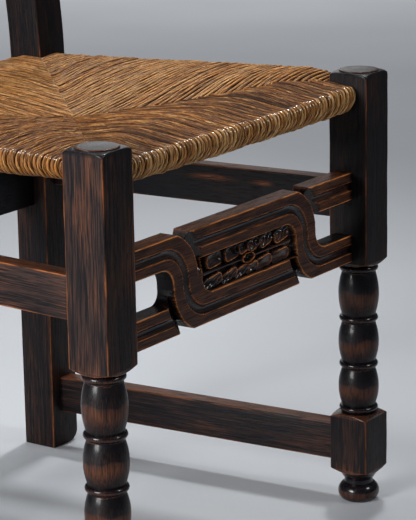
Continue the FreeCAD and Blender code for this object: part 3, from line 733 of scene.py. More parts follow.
# carved rails: two interlaced bands with a gouged channel, round a sunk panel of leaves; sizes in mm
carving = {
    "half": 48.0,
    "opening": 19.0,
    "openingRound": 12.0,
    "limbHalf": 20.0,
    "limbRadius": 52.0,
    "bandMiddle": 33.5,
    "channelRadius": 5.0,
    "channelDepth": 3.6,
    "panelDepth": 7.0,
    "panelWall": 2.2,
    "panelLeft": 6.0,
    "panelRight": 3.0,
    "panelShift": 3.0,
    "leafEdge": (0.5, 2.5),
    "leafBelow": 0.6,
    "slopeWidth": 13.0,
    "slopeDepth": 9.0,
    "slopeFade": (1, 14),
    "notchLip": 9.0,
    "notchDepth": 11.0,
    "edgeRound": 1.4,
    "thickness": 20.0,
    "deepest": 12.0,
    "step": 0.9,
    "rowStep": 0.6,
    "intoLeg": 3.0,
    "support": 1.6,
    "cutterSteps": {"round": 6, "hollow": 16, "corner": 12, "notch": 10},
    "cutterGap": 1.2,
    "cutterPast": (20, 1.5, 6),  # beyond the ends, the edges and the faces
    "near": 0.1,
    "faceNear": 0.8,
    "wearReach": (0.7, 1.4),
    "wearTurns": 8,
    "wearLimit": 2.5,
    "wornRise": (0.12, 0.5),
    "wornDepth": (1.0, 3.2),
    "handled": 0.1,
    "handledDepth": (0.3, 1.2),
    "topRubAndSheen": 0.3,
    # painted shade: the cut walls, places sunk below their surroundings and the deep panel are darkened
    "wallShade": -0.8,
    "shadeRise": (0.08, 0.9),
    "deepShade": 0.4,
    "deepShadeDepth": (2.2, 4.0),
    "glossDepth": (0.8, 2.5),
    "tone": 0.85,
}
# from the middle of a limb back to the centre of its round side
limbBack = carving["limbRadius"] - carving["limbHalf"]
# lobes of the leaf rows: place along and above the stem, half sizes, lean in degrees and ribs
lobes = [
    (-58, 10.6, 15.0, 7.6, 4, 0.0),
    (-27.5, 10.8, 14.5, 7.4, 6, 0.0),
    (-7, 11.6, 10.5, 6.0, 10, 0.7),
    (10.5, 11.4, 12.5, 6.4, 13, 1.4),
    (32.5, 11.2, 13.5, 6.6, 13, 1.4),
    (61, 10.6, 15.5, 7.2, 9, 1.4),
]
leaf = {
    "corner": 0.85,
    "outer": (-0.9, 0.9),
    "rim": 6.0,
    "rimFall": 2.6,
    "rimWall": (0.0, 1.2),
    "scoop": 2.6,
    "scoopFrom": 0.8,
    "scoopLeast": 0.45,
    "veinLean": 32,
    "veinStep": 4.4,
    "stem": 4.4,
    "stemHalf": 1.7,
    "stemWider": 1.5,
    "stemWidens": (12, 78),
    "stemFlat": 0.3,
    "stemEnd": (76, 86),
    "eyeHalf": (12.5, 6.0),
    "eyeEdge": (0.85, 0.95),
    "ring": (6.2, 0.8, 0.17),  # height, place and spread
    "pupil": (3.0, 0.0, 0.32),
}


def halfTurn(u, v, middle):
    # a limb looks the same turned round, so its other side is measured from there
    return 2 * middle - u, -v, middle


def roundSide(v, radius=carving["limbRadius"]):
    # how far the round side of a limb is from its middle at a height
    return np.sqrt(radius ** 2 - v ** 2) - limbBack


def limbRound(u, v, middle):
    # distance outside the round side of a limb, on its upper right
    return np.hypot(np.maximum(u - (middle - limbBack), 0), v) - carving["limbRadius"]


def limbRight(u, v, middle):
    # distance to the right of a limb: the round above, the hollow corner below
    hollow = carving["limbHalf"] + carving["opening"]
    inHollow = carving["opening"] - np.hypot(np.minimum(u - (middle + hollow), 0), v)
    return np.where(v >= 0, limbRound(u, v, middle), inHollow)


def notchInside(u, v, middle):
    # how far inside the notch of the upper edge, right of the limb
    deep = carving["half"] - carving["notchDepth"]
    foot = middle + roundSide(deep)
    slant = (middle + carving["notchLip"] - foot) / carving["notchDepth"]
    rightEdge = foot + (v - deep) * slant
    return np.minimum(np.minimum(limbRound(u, v, middle), rightEdge - u), v - deep)


def openingCorner():
    # centre of the arc that rounds an opening's upper corner, from the middle of the limb
    up = carving["opening"] - carving["openingRound"]
    return roundSide(up, carving["limbRadius"] + carving["openingRound"]), up


def openingInside(u, v, middle):
    # how far inside the opening right of a limb
    inside = np.minimum(carving["opening"] - np.abs(v), limbRight(u, v, middle))
    across, up = openingCorner()
    x = u - middle
    inCorner = (x < across) & (v * (across + limbBack) > up * (x + limbBack))
    return np.where(inCorner, carving["openingRound"] - np.hypot(x - across, v - up), inside)


def cutAway(u, v, limbs):
    # positive where the board is pierced, notched or past its edge
    left, right = limbs
    cut = np.maximum(openingInside(*halfTurn(u, v, left)), openingInside(u, v, right))
    for middle in limbs:
        cut = np.maximum(cut, notchInside(u, v, middle))
        cut = np.maximum(cut, notchInside(*halfTurn(u, v, middle)))
    return np.maximum(cut, np.abs(v) - carving["half"])


def bandLine(u, v, middle):
    # distance from the middle line of a limb's band, level to the left above and to the right below
    reach = carving["bandMiddle"]
    x = np.where(v >= 0, u, 2 * middle - u)
    return np.abs(np.hypot(np.maximum(x - (middle - reach), 0), v) - reach)


def gouge(distance):
    radius, depth = carving["channelRadius"], carving["channelDepth"]
    return np.maximum(np.sqrt(np.maximum(radius ** 2 - distance ** 2, 0)) - (radius - depth), 0)


def leaned(x, y, degrees):
    a = math.radians(degrees)
    return x * math.cos(a) + y * math.sin(a), y * math.cos(a) - x * math.sin(a)


def mound(distance, high, middle, spread):
    return high * np.exp(-((distance - middle) / spread) ** 2)


def leafRelief(s, v):
    # height above the ground of the panel: a stem with an eye, and a row of scooped lobes on each side
    height = np.zeros_like(s)
    for turn in (1, -1):
        for along, above, halfLong, halfHigh, lean, veined in lobes:
            x, y = turn * s - along, turn * v - above
            e1, e2 = leaned(x, y, lean)
            corner = halfHigh * leaf["corner"]
            q1, q2 = np.abs(e1) - (halfLong - corner), np.abs(e2) - (halfHigh - corner)
            inside = corner - np.hypot(np.maximum(q1, 0), np.maximum(q2, 0))
            inside = inside - np.minimum(np.maximum(q1, q2), 0)
            outer = ramp(e2 / halfHigh + e1 / halfLong, *leaf["outer"])
            rim = (leaf["rim"] - leaf["rimFall"] * outer) * ramp(inside, *leaf["rimWall"])
            acrossVeins = leaned(x, y, lean + leaf["veinLean"])[1]
            veins = veined * np.cos(2 * math.pi * acrossVeins / leaf["veinStep"])
            hollow = leaf["scoopLeast"] + (1 - leaf["scoopLeast"]) * outer
            hollow = ramp(inside, leaf["scoopFrom"], corner) * hollow
            height = np.maximum(height, rim - (leaf["scoop"] - veins) * hollow)
    stemHalf = leaf["stemHalf"] + leaf["stemWider"] * ramp(np.abs(s), *leaf["stemWidens"])
    stem = leaf["stem"] * fall(np.abs(v), stemHalf * leaf["stemFlat"], stemHalf)
    stem = stem * fall(np.abs(s), *leaf["stemEnd"])
    halfLong, halfHigh = leaf["eyeHalf"]
    eye = np.sqrt((s / halfLong) ** 2 + (v / halfHigh) ** 2)
    ring = mound(eye, *leaf["ring"]) + mound(eye, *leaf["pupil"])
    stemFrom, leavesFrom = leaf["eyeEdge"]
    stem = np.where(eye < stemFrom, 0, stem)
    return np.maximum(np.where(eye > leavesFrom, height, 0), np.maximum(stem, ring))


def coveredEnd(beyond):
    # the slope on which a band goes down under the limb that crosses it
    return carving["slopeDepth"] * np.clip(1 - beyond / carving["slopeWidth"], 0, 1)


def carvedDepth(u, v, limbs):
    # depth of the carved face below the front of the board
    c = carving
    left, right = limbs
    upperLeft, upperRight = (limbRound(u, v, middle) for middle in limbs)
    lowerLeft, lowerRight = (limbRound(*halfTurn(u, v, middle)) for middle in limbs)
    bandLeft, bandRight = (bandLine(u, v, middle) for middle in limbs)
    level = np.abs(np.abs(v) - c["bandMiddle"])
    upperBand = np.where(upperLeft < 0, bandLeft, np.where(upperRight < 0, bandRight, level))
    lowerBand = np.where(lowerRight < 0, bandRight, np.where(lowerLeft < 0, bandLeft, level))
    channel = gouge(np.where(v >= 0, upperBand, lowerBand))
    never = 2 * c["slopeWidth"]
    upperEnd = np.where(upperLeft < 0, never, np.where(upperRight < 0, upperLeft, upperRight))
    lowerEnd = np.where(lowerRight < 0, never, np.where(lowerLeft < 0, lowerRight, lowerLeft))
    covered = coveredEnd(np.where(v >= 0, upperEnd, lowerEnd)) * ramp(np.abs(v), *c["slopeFade"])
    depth = np.maximum(channel, covered)
    fromLeft = limbRight(u - c["panelLeft"], v, left)
    fromRight = limbRight(*halfTurn(u - c["panelRight"], v, right))
    panel = np.minimum(c["opening"] - np.abs(v), np.minimum(fromLeft, fromRight))
    ground = c["panelDepth"] * ramp(panel, 0.0, c["panelWall"])
    leaves = leafRelief(u - (left + right) / 2 - c["panelShift"], v) * ramp(panel, *c["leafEdge"])
    carved = np.maximum(ground - leaves, c["leafBelow"] * ramp(panel, 0, 1))
    depth = np.where(panel > 0, carved, depth)
    edge = np.clip(c["edgeRound"] + cutAway(u, v, limbs), 0, c["edgeRound"])
    return depth + edge ** 2 / (2 * c["edgeRound"])


def carvedWearAndShade(u, v, limbs):
    # how far the face stands above its surroundings: worn where positive, painted shade where negative, and
    # more painted shade the deeper the place lies
    c = carving
    here = carvedDepth(u, v, limbs)
    around = np.zeros_like(here)
    directions = np.linspace(0, 2 * math.pi, c["wearTurns"] + 1)[:-1]
    limit = c["wearLimit"]
    for reach in c["wearReach"]:
        for turn in directions:
            x, y = u + reach * np.cos(turn), v + reach * np.sin(turn)
            deep = np.where(cutAway(x, y, limbs) > 0, here + limit, carvedDepth(x, y, limbs))
            around += np.clip(deep - here, -limit, limit)
    rise = around / (len(c["wearReach"]) * len(directions))
    handled = c["handled"] * fall(here, *c["handledDepth"])
    raised = np.maximum(ramp(rise, *c["wornRise"]) * fall(here, *c["wornDepth"]), handled)
    depthShade = c["deepShade"] * ramp(here, *c["deepShadeDepth"])
    return np.where(rise > 0, raised, handled - ramp(-rise, *c["shadeRise"])) - depthShade, here


def cutterOutlines(limbs, ends):
    # closed outlines of the two openings and the four notches
    c = carving
    left, right = limbs
    count = c["cutterSteps"]
    pastEnd, pastEdge = c["cutterPast"][:2]
    reach, edge = ends + pastEnd, c["half"] + pastEdge
    across, high = openingCorner()
    lean = math.atan2(high, across + limbBack)
    up = np.linspace(0, c["limbRadius"] * math.sin(lean), count["round"])[1:]
    down = np.linspace(-c["opening"], 0, count["hollow"])
    turn = np.linspace(math.pi + lean, math.pi / 2, count["corner"])[1:]
    corner = zip(across + c["openingRound"] * np.cos(turn), high + c["openingRound"] * np.sin(turn))
    hollowSide = c["limbHalf"] + c["opening"] - np.sqrt(np.maximum(c["opening"] ** 2 - down ** 2, 0))
    inner = [*zip(hollowSide, down), *zip(roundSide(up), up), *corner]
    hole = [(right + x, y) for x, y in inner] + [(reach, c["opening"]), (reach, -c["opening"])]
    otherHole = [(left - x, -y) for x, y in inner] + [(-reach, -c["opening"]), (-reach, c["opening"])]
    outlines = [hole, otherHole]
    rise = np.linspace(c["half"] - c["notchDepth"], edge, count["notch"])
    side = roundSide(rise)
    slant = (c["notchLip"] - side[0]) / c["notchDepth"]
    notch = [*zip(side, rise), (side[0] + slant * (c["notchDepth"] + pastEdge), edge)]
    for middle in limbs:
        outlines.append([(middle + x, y) for x, y in notch])
        outlines.append([(middle - x, -y) for x, y in notch])
    return outlines


def addCutter(outlines, levels):
    # prisms through the board, with loops near both faces to keep the worn edge narrow
    vertices, faces = [], []
    for outline in outlines:
        first, count = len(vertices), len(outline)
        for level in levels:
            vertices += [(x * mm, level * mm, y * mm) for x, y in outline]
        for layer in range(len(levels) - 1):
            for place in range(count):
                a = first + layer * count + place
                b = first + layer * count + (place + 1) % count
                faces.append((a, b, b + count, a + count))
        last = len(vertices) - count
        faces.append(tuple(range(first, first + count))[::-1])
        faces.append(tuple(range(last, last + count)))
    cutter = addMesh("cutter", vertices, faces)
    openMesh(cutter)
    closeOutward()
    return cutter


def addCarvedRail(name, limbOffset, shift, ends):
    c = carving
    limbs = (shift - limbOffset, shift + limbOffset)
    long = ends + c["intoLeg"]
    columns, rows = round(2 * long / c["step"]), round(2 * c["half"] / c["rowStep"])
    rail = addShape(name, bpy.ops.mesh.primitive_grid_add,
                    x_subdivisions=columns, y_subdivisions=rows, size=2)
    grid = vertexPlaces(rail.data)
    u, v = grid[:, 0] * long, grid[:, 1] * c["half"]
    face = -c["thickness"] / 2
    depth = np.minimum(carvedDepth(u, v, limbs), c["deepest"])
    moveVertices(rail.data, np.column_stack((u, face + depth, v)) * mm)
    openMesh(rail)
    bpy.ops.mesh.select_all(action="SELECT")
    bpy.ops.mesh.region_to_loop()
    bpy.ops.mesh.extrude_edges_move(TRANSFORM_OT_translate={"value": (0, c["support"] * mm, 0)})
    for level in (-face - c["support"], -face):
        bpy.ops.mesh.extrude_edges_move()
        bpy.ops.object.mode_set(mode="OBJECT")
        for vertex in rail.data.vertices:
            if vertex.select:
                vertex.co.y = level * mm
        bpy.ops.object.mode_set(mode="EDIT")
    bpy.ops.mesh.edge_face_add()
    closeOutward()
    past = c["cutterPast"][2]
    levels = (face - past, face + c["support"] + c["cutterGap"], -face - c["support"], -face + past)
    cutter = addCutter(cutterOutlines(limbs, ends), levels)
    applyModifier(rail, "BOOLEAN", operation="DIFFERENCE", solver="EXACT", object=cutter)
    bpy.data.objects.remove(cutter)
    places = vertexPlaces(rail.data)
    u, through, v = places.T / mm
    wearAndShade, depth = carvedWearAndShade(u, v, limbs)
    onFace = through < face + np.minimum(depth, c["deepest"]) + c["faceNear"]
    # the top face is lighter: partly rubbed, partly painted sheen from the lamps above
    onTop = (v > c["half"] - c["near"]) & ~onFace
    # the walls of the cuts get painted shade
    onWall = (np.abs(v) < c["half"] - c["near"]) & (through < -face - c["near"])
    wearAndShade = np.where(onFace, wearAndShade, np.where(onTop, c["topRubAndSheen"], np.where(onWall, c["wallShade"], 0.0)))
    gloss = np.where(onFace, ramp(depth, *c["glossDepth"]), 0.0)
    setGrain(rail.data, places, (1.0, 1.0), wearAndShade, gloss, c["tone"])
    return rail


backRail = {"limbOffset": 91, "shift": 0, "ends": 174}
carvedRails = {
    "carved_front_rail": ({"limbOffset": 105, "shift": 6, "ends": 201.5}, 0.0),
    "crest_rail": (backRail, chair["rake"]),
    "lower_back_rail": (backRail, chair["rake"]),
}
for node, (sizes, rake) in carvedRails.items():
    low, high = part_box(node)
    rail = addCarvedRail(f"{node}_carving", **sizes)
    rail.location = (low + high) / 2
    rail.rotation_euler.x = -rake
    placePiece(rail, oakFinish, "stained_oak", node, smooth=40)


# rush seat: cords wound over the rails in four fields that meet at the diagonals
seat = {
    "top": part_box("rush_seat")[1].z,
    "depth": {"front": 32 * mm, "back": 31 * mm, "left": 24 * mm, "right": 25 * mm},
    "fuller": {"front": 2.5 * mm, "back": 4 * mm, "left": 8 * mm, "right": 6 * mm},
    "frontDrop": 7 * mm,
    "frontReach": (8 * mm, 70 * mm),
    "cornerDrop": 4 * mm,
    "cornerReach": (50 * mm, 200 * mm),
    "leftDrop": 3.2 * mm,
    "leftReach": (8 * mm, 60 * mm),
    "sag": 21 * mm,
    "sagCurve": 1.15,
    "bulge": 13 * mm,
    "noseInset": 11.5 * mm,
    "noseSquare": 3.2,
    "noseSteps": 14,
    "tuckUnder": 5 * mm,
    "tuckTurn": (-1.0, 0.2),
    "tuckReach": 3,
    "plump": 3.0 * mm,
    "plumpFrom": (0.0, 0.25),
    "plumpCurve": 1.5,
    "farRise": 8 * mm,
    "farAcross": (60 * mm, 200 * mm),
    "farAlong": (-200 * mm, 200 * mm),
    "overlap": 2.5 * mm,
    "overlaps": (0.3, 1.3),
    "dive": 4 * mm,
    "diveSteps": (1.0, 0.4, 0.05, 0.0),
}
# cords: sizes, how they vary, and on each edge their painted shade, how pale they are (with painted sheen
# on some tops) and how polished
cords = {
    "pitch": {"front": 5.9 * mm, "back": 5.9 * mm, "left": 5.31 * mm, "right": 5.31 * mm},
    "width": 0.95,
    "widths": (0.92, 1.06),
    "widthWave": (0.05, 60),  # share and rate
    "topGap": 0.08,
    "height": 2.9 * mm,
    "heights": (0.9, 1.12),
    "heightWave": (0.06, 47),
    "rollHigh": 1.06,
    "topFlat": 0.16,
    "stray": 0.3 * mm,
    "sway": 0.4 * mm,
    "swayRate": (14, 24),
    "swayRings": 4,
    "phase": (0, 6),
    "markShift": (0, 40),
    "around": 15,
    "step": 4.5 * mm,
    "endStep": 2 * mm,
    "endGap": 5 * mm,
    "strandRidge": (1.0, 0.25, 0.0, 0.0, 0.25),
    "lobe": 0.15,
    "topLobe": 0.7,
    "rollTwist": 58 * mm,
    "topTwist": 140 * mm,
    "onTop": (0.9, 1.0),
    # painted shade on the sides of each cord turned away from its outside, less on top, and at the seams
    "cordShadeDepth": (0.05, 0.72),
    "topCordShade": 0.14,
    "seamShade": 0.4,
    "seamRings": 3.0,
    # painted shade over the field tops, strongest on the front field, and on the left roll
    "fieldShade": {"front": 0.58, "back": 0.0, "left": 0.2, "right": 0.0},
    "rollShade": {"front": 0.0, "back": 0.0, "left": 0.25, "right": 0.0},
    "fieldShadeRange": (0.4, 1.6),
    "paleAndSheen": {"front": 0.55, "back": 0.4, "left": 0.1, "right": 0.3},
    # the paler tops of the back and right fields are painted sheen
    "paleTopAndSheen": {"front": 0.0, "back": 0.3, "left": 0.0, "right": 0.3},
    "polish": {"front": 1.0, "back": 0.1, "left": 1.0, "right": 0.3},
    "polishes": (0.5, 1.0),
    "polishRise": (0.35, 0.7),
    "polishFall": (0.95, 0.995),
    "polishReach": (24 * mm, 32 * mm),
    "polishCrown": (0.1, 0.6),
}
legRight, postRight = legMid["right"], postMid["right"]
corners = {
    "front": Vector((legRight.x - chair["legHalf"], legRight.y + chair["legHalf"])),
    "back": Vector((postRight.x - chair["postWidth"] / 2, postRight.y - chair["postDepth"] / 2)),
}
noses = {
    "front": legRight.y - chair["legHalf"] + seat["noseInset"],
    "back": postRight.y + chair["postDepth"] / 2 - seat["noseInset"],
}
seatMid = (legRight.y + postRight.y) / 2


def noseSide(y):
    # half width of the seat at the rounded side, along the line of leg and post
    share = (y - legRight.y) / (postRight.y - legRight.y)
    return legRight.x + chair["legHalf"] + share * (postRight.x - legRight.x) - seat["noseInset"]


def seamHalf(y):
    # half width between the two seams at a depth
    front, back = corners["front"], corners["back"]
    toFront = front.x * (seatMid - y) / (seatMid - front.y)
    toBack = back.x * (y - seatMid) / (back.y - seatMid)
    return np.clip(np.where(y < seatMid, toFront, toBack), 0, None)


def seamDepth(x, field):
    corner = corners[field]
    return corner.y + (seatMid - corner.y) * np.clip(1 - np.abs(x) / corner.x, 0, 1)


def rollDepth(field, place):
    # thickness of the rounded edge, fuller between the legs
    if field in crosswise:
        share = (place / corners[field].x + 1) / 2
    else:
        share = (place - corners["front"].y) / (corners["back"].y - corners["front"].y)
    return seat["depth"][field] + seat["fuller"][field] * np.sin(np.pi * np.clip(share, 0, 1))


def edgeDrop(x, y):
    # the front and left edges have been pressed down by use
    front = seat["frontDrop"] + seat["cornerDrop"] * ramp(x, *seat["cornerReach"])
    left = seat["leftDrop"] * fall(x + noseSide(y), *seat["leftReach"])
    return front * fall(y - noses["front"], *seat["frontReach"]) + left


def seatHeight(x, y, field, upper):
    # top or underside of the woven seat: falling to the middle, full between the seams
    s = seat
    roll = s["depth"]["front"] / 2
    across = np.abs(x) / (noseSide(y) - roll)
    front = (seatMid - y) / (seatMid - noses["front"] - roll)
    back = (y - seatMid) / (noses["back"] - roll - seatMid)
    along = np.maximum(front, back)
    outer = np.clip(np.maximum(across, along), 0, 1)
    fromSeam = np.clip(np.abs(across - along), 0, 1)
    full = s["plump"] * ramp(fromSeam, *s["plumpFrom"]) * np.sin(np.pi * outer ** s["plumpCurve"])
    if upper:
        far = s["farRise"] * ramp(x, *s["farAcross"]) * fall(y, *s["farAlong"])
        return s["top"] - s["sag"] * (1 - outer) ** s["sagCurve"] + full + far - edgeDrop(x, y)
    depth = rollDepth(field, x if field in crosswise else y)
    return s["top"] - depth - s["bulge"] * (1 - outer) - full


def cordPath(field, place):
    # middle line of one cord, from the top seam round the rail to the seam below
    s = seat
    inward, high = inwards[field], cords["height"]
    if field in crosswise:
        nose = noses[field]
        length = abs(seamDepth(place, field) - nose)
        drop = edgeDrop(place, nose)
    else:
        nose = -inward * noseSide(place)
        length = noseSide(place) - seamHalf(place)
        drop = edgeDrop(nose, place)
    roll = (rollDepth(field, place) - drop) / 2 - high
    nose += inward * high
    end = length + s["overlap"] * rng.uniform(*s["overlaps"])
    count = max(3, round((length - roll) / cords["step"]))
    level = np.linspace(max(end - cords["endGap"], roll + mm), roll, count)
    depths = np.concatenate(([end, end - cords["endStep"]], level))
    angles = np.linspace(math.pi / 2, -math.pi / 2, s["noseSteps"] + 1)[1:-1]
    power = 2 / s["noseSquare"]
    cosine, sine = np.cos(angles) ** power, np.sign(angles) * np.abs(np.sin(angles)) ** power
    steps = np.concatenate((depths, roll * (1 - cosine), depths[::-1]))
    turn = np.concatenate((np.full(len(depths), 1.0), sine, np.full(len(depths), -1.0)))
    steps = steps + s["tuckUnder"] * fall(turn, *s["tuckTurn"]) * fall(steps, roll, s["tuckReach"] * roll)
    beside, inFrom = np.full_like(steps, place), nose + inward * steps
    x, y = (beside, inFrom) if field in crosswise else (inFrom, beside)
    top = seatHeight(x, y, field, True) - high
    bottom = seatHeight(x, y, field, False) + high
    z = (top + bottom) / 2 + (top - bottom) / 2 * turn
    fromEnd = np.minimum(np.arange(len(z)), np.arange(len(z))[::-1])
    sink = s["dive"] * np.interp(fromEnd, range(len(s["diveSteps"])), s["diveSteps"])
    return np.column_stack((x, y, z - sink * np.sign(turn))), turn, fromEnd


def layCord(field, place, pitch, side):
    # rings of one cord of three strands, and the marks that its finish reads
    c = cords

    def wave(along, share, rate):
        return 1 + share * np.sin(along * rate + rng.uniform(*c["phase"]))

    path, turn, fromEnd = cordPath(field, place)
    steps = np.linalg.norm(np.diff(path, axis=0), axis=1)
    along = np.concatenate(([0], np.cumsum(steps)))
    sway = rng.normal(0, c["stray"])
    sway = sway + c["sway"] * np.sin(along * rng.uniform(*c["swayRate"]) + rng.uniform(*c["phase"]))
    path = path + side * sway[:, None] * np.minimum(1, fromEnd / c["swayRings"])[:, None]
    tangent = np.gradient(path, axis=0)
    tangent /= np.linalg.norm(tangent, axis=1)[:, None]
    outward = np.cross(np.broadcast_to(side, tangent.shape), tangent)
    if field in ("front", "right"):
        outward = -outward
    onTop = ramp(turn, *c["onTop"])
    width = pitch / 2 * c["width"] * rng.uniform(*c["widths"]) * (1 - c["topGap"] * onTop)
    width = width * wave(along, *c["widthWave"])
    height = c["height"] * rng.uniform(*c["heights"]) * (c["rollHigh"] - c["topFlat"] * onTop)
    height = height * wave(along, *c["heightWave"])
    lift = rng.normal(0, c["stray"])
    rate = 1 / c["rollTwist"] + (1 / c["topTwist"] - 1 / c["rollTwist"]) * onTop
    twist = rng.random() + np.concatenate(([0], np.cumsum(steps * rate[1:])))
    around = np.arange(c["around"]) / c["around"]
    ridge = np.resize(c["strandRidge"], c["around"])
    phi = 2 * math.pi * (around[None, :] + twist[:, None])
    bulge = 1 - (c["lobe"] * (1 + c["topLobe"] * onTop))[:, None] * ridge[None, :]
    a = width[:, None] * np.cos(phi) * bulge
    b = height[:, None] * np.sin(phi) * bulge + lift
    rings = path[:, None, :] + side[None, None, :] * a[:, :, None] + outward[:, None, :] * b[:, :, None]

    cordCo = np.empty(rings.shape)
    cordCo[:, :, 0] = (along + rng.uniform(*c["markShift"]))[:, None]
    cordCo[:, :, 1] = np.cos(2 * math.pi * around)[None, :]
    cordCo[:, :, 2] = np.sin(2 * math.pi * around)[None, :]
    facing, fromRoll = outward[:, 2], np.abs(along - along[len(along) // 2])
    polish = ramp(facing, *c["polishRise"]) * fall(facing, *c["polishFall"])
    polish = (polish * fall(fromRoll, *c["polishReach"]))[:, None] * c["polish"][field]
    pale = c["paleAndSheen"][field] + (c["paleTopAndSheen"][field] - c["paleAndSheen"][field]) * onTop
    paleAndSheen = np.repeat(pale * rng.uniform(0.0, 1.0), c["around"])
    shine = polish * ramp(np.sin(phi), *c["polishCrown"]) * rng.uniform(*c["polishes"])
    # painted shade where each cord turns away from its outside and where it dives under at a seam
    deep = fall(np.sin(phi) - c["topCordShade"] * onTop[:, None], *c["cordShadeDepth"])
    atSeam = np.clip(1 - fromEnd / c["seamRings"], 0, 1)[:, None] * c["seamShade"]
    # painted shade for the whole cord, varied at random
    fieldShade = c["rollShade"][field] + (c["fieldShade"][field] - c["rollShade"][field]) * onTop
    fieldShade = (fieldShade * rng.uniform(*c["fieldShadeRange"]))[:, None]
    cordShade = np.clip(np.maximum(np.maximum(deep, atSeam), fieldShade), 0, 1)
    marks = {
        "cordCo": cordCo.reshape(-1, 3),
        "cordShade": cordShade.ravel(),
        "valley": np.tile(ridge, len(path)),
        "shine": shine.ravel(),
        "paleAndSheen": paleAndSheen,
    }
    return rings, marks


def addField(field):
    if field in crosswise:
        low, high, side = -corners[field].x, corners[field].x, np.array((1.0, 0.0, 0.0))
    else:
        low, high, side = corners["front"].y, corners["back"].y, np.array((0.0, 1.0, 0.0))
    count = round((high - low) / cords["pitch"][field])
    pitch = (high - low) / count
    vertices, faces, allMarks = [], [], []
    first = 0
    for number in range(count):
        rings, marks = layCord(field, low + (number + 0.5) * pitch, pitch, side)
        vertices.append(rings.reshape(-1, 3))
        allMarks.append(marks)
        index = first + np.arange(len(vertices[-1])).reshape(rings.shape[:2])
        nextRound = np.roll(index, -1, axis=1)
        quads = np.stack((index[:-1], nextRound[:-1], nextRound[1:], index[1:]), axis=-1)
        faces += quads.reshape(-1, 4).tolist()
        faces += [index[0, ::-1].tolist(), index[-1].tolist()]
        first += index.size
    woven = addMesh(f"rush_{field}_cords", np.concatenate(vertices).tolist(), faces)
    for name in allMarks[0]:
        setValues(woven.data, name, np.concatenate([marks[name] for marks in allMarks]))
    openMesh(woven)
    closeOutward()
    return woven


for field in inwards:
    placePiece(addField(field), rushFinish, "rush", "rush_seat", smooth=60)


# loose rush packed between the two layers
packing = {"under": 6.5 * mm, "cuts": 12, "narrow": 0.92, "point": 0.97, "thinEdge": 0.9, "thinning": 0.25}


def addPacking(field):
    low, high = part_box(f"rush_padding_{field}")
    pad = addShape(f"rush_packing_{field}", bpy.ops.mesh.primitive_cube_add, size=2)
    openMesh(pad)
    bpy.ops.mesh.subdivide(number_cuts=packing["cuts"])
    closeMesh()
    grid = vertexPlaces(pad.data)
    side, inFrom = (grid[:, 0], grid[:, 1]) if field in crosswise else (grid[:, 1], grid[:, 0])
    share = (1 + inwards[field] * inFrom) / 2
    wide = packing["narrow"] * side * (1 - share * packing["point"])
    middle = (low + high) / 2
    halfX, halfY = (high.x - low.x) / 2, (high.y - low.y) / 2
    if field in crosswise:
        x, y = middle.x + wide * halfX, middle.y + halfY * inFrom
    else:
        x, y = middle.x + halfX * inFrom, seatMid + wide * halfY
    top = seatHeight(x, y, field, True) - packing["under"]
    bottom = seatHeight(x, y, field, False) + packing["under"]
    thick = np.sqrt(np.clip(1 - (side * packing["thinEdge"]) ** 2, 0, 1))
    thick = thick * packing["thinning"] + 1 - packing["thinning"]
    z = (top + bottom) / 2 + (top - bottom) / 2 * grid[:, 2] * thick
    moveVertices(pad.data, np.column_stack((x, y, z)))
    return pad


for field in inwards:
    placePiece(addPacking(field), packedFinish, "rush", f"rush_padding_{field}", smooth=70)

# seat rails, hidden inside the rush
seatRails = {"width": 14 * mm, "under": 6.8 * mm}
drops = {"front": seat["frontDrop"], "left": seat["leftDrop"]}
for field in inwards:
    low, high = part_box(f"seat_rail_{field}")
    top = seat["top"] - drops.get(field, 0.0) - seatRails["under"]
    bottom = seat["top"] - seat["depth"][field] + seatRails["under"]
    if field in crosswise:
        level = (low.y + high.y) / 2
        start, end = Vector((low.x, level)), Vector((high.x, level))
    else:
        start, end = sideLine(field, seat["noseInset"] + seatRails["under"] + seatRails["width"] / 2)
    rail = addBoard(f"seat_rail_{field}_stick", start, end, bottom, top, seatRails["width"])
    placePiece(rail, rawFinish, "raw_oak", f"seat_rail_{field}")
print("pieces ready")


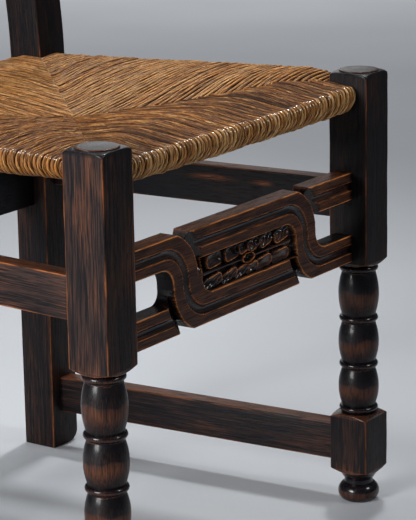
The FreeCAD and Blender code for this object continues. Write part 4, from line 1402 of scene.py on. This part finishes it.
# floor, light and camera
studio = {
    "floorSize": 24,
    "world": colour(150, 156, 164),
    "worldStrength": 0.25,
    "cameraFromLegs": (-1.77239, -1.1904, 0.87632),
    "azimuth": math.radians(-55.26),
    "elevation": math.radians(14.66),
    "roll": math.radians(-1.01),
    "focalPixels": 2264.63,
    "imageHeight": 520,
    "sensor": 36,
}
softboxes = {
    "overhead": {"place": (0.0, 0.9, 2.4), "aim": (0, 0, 0.3), "size": 0.45, "spread": 180, "power": 17},
    "left": {"place": (-2.9, 0.5, 1.2), "aim": (0, 0, 0.35), "size": 1.2, "spread": 120, "power": 50},
    "right": {"place": (1.5, 0.35, 2.8), "aim": (0.2, 0.35, 0), "size": 0.28, "spread": 60, "power": 5.2},
    "front": {"place": (0.7, -2.3, 2.1), "aim": (0, 0, 0.4), "size": 0.5, "spread": 70, "power": 3.8},
    "far": {"place": (2.4, 1.7, 1.15), "aim": (0, 0, 0.4), "size": 1.2, "spread": 120, "power": 2.0},
    "backdrop": {"place": (4.2, 2.9, 3.0), "aim": (4.2, 2.7, 0), "size": 2.6, "spread": 120, "power": 57},
}

floor = addShape("studio_floor", bpy.ops.mesh.primitive_plane_add, size=studio["floorSize"])
floor.data.materials.append(paleFloor())

for name, box in softboxes.items():
    lamp = addShape(f"softbox_{name}", bpy.ops.object.light_add, type="AREA", location=box["place"])
    lamp.data.shape = "SQUARE"
    lamp.data.size = box["size"]
    lamp.data.energy = box["power"]
    lamp.data.spread = math.radians(box["spread"])
    toAim = Vector(box["aim"]) - Vector(box["place"])
    lamp.rotation_euler = toAim.to_track_quat("-Z", "Y").to_euler()

world = bpy.data.worlds.new("studio_air")
world.use_nodes = True
air = world.node_tree.nodes["Background"]
air.inputs["Color"].default_value = studio["world"]
air.inputs["Strength"].default_value = studio["worldStrength"]
bpy.context.scene.world = world
bpy.context.scene.view_settings.view_transform = "Standard"

azimuth, elevation, roll = studio["azimuth"], studio["elevation"], studio["roll"]
back = Vector((math.sin(azimuth) * math.cos(elevation), -math.cos(azimuth) * math.cos(elevation),
               math.sin(elevation)))
levelRight = (-back).cross(Vector((0, 0, 1))).normalized()
levelUp = levelRight.cross(-back)
right = levelRight * math.cos(roll) + levelUp * math.sin(roll)
up = levelUp * math.cos(roll) - levelRight * math.sin(roll)
camera = addShape("studio_camera", bpy.ops.object.camera_add)
cameraPlace = Vector(studio["cameraFromLegs"]) + Vector((0, legMid["left"].y, 0))
camera.matrix_world = Matrix.Translation(cameraPlace) @ Matrix((right, up, back)).transposed().to_4x4()
camera.data.sensor_width = studio["sensor"]
camera.data.lens = studio["focalPixels"] / studio["imageHeight"] * studio["sensor"]
bpy.context.scene.camera = camera
print("studio ready")
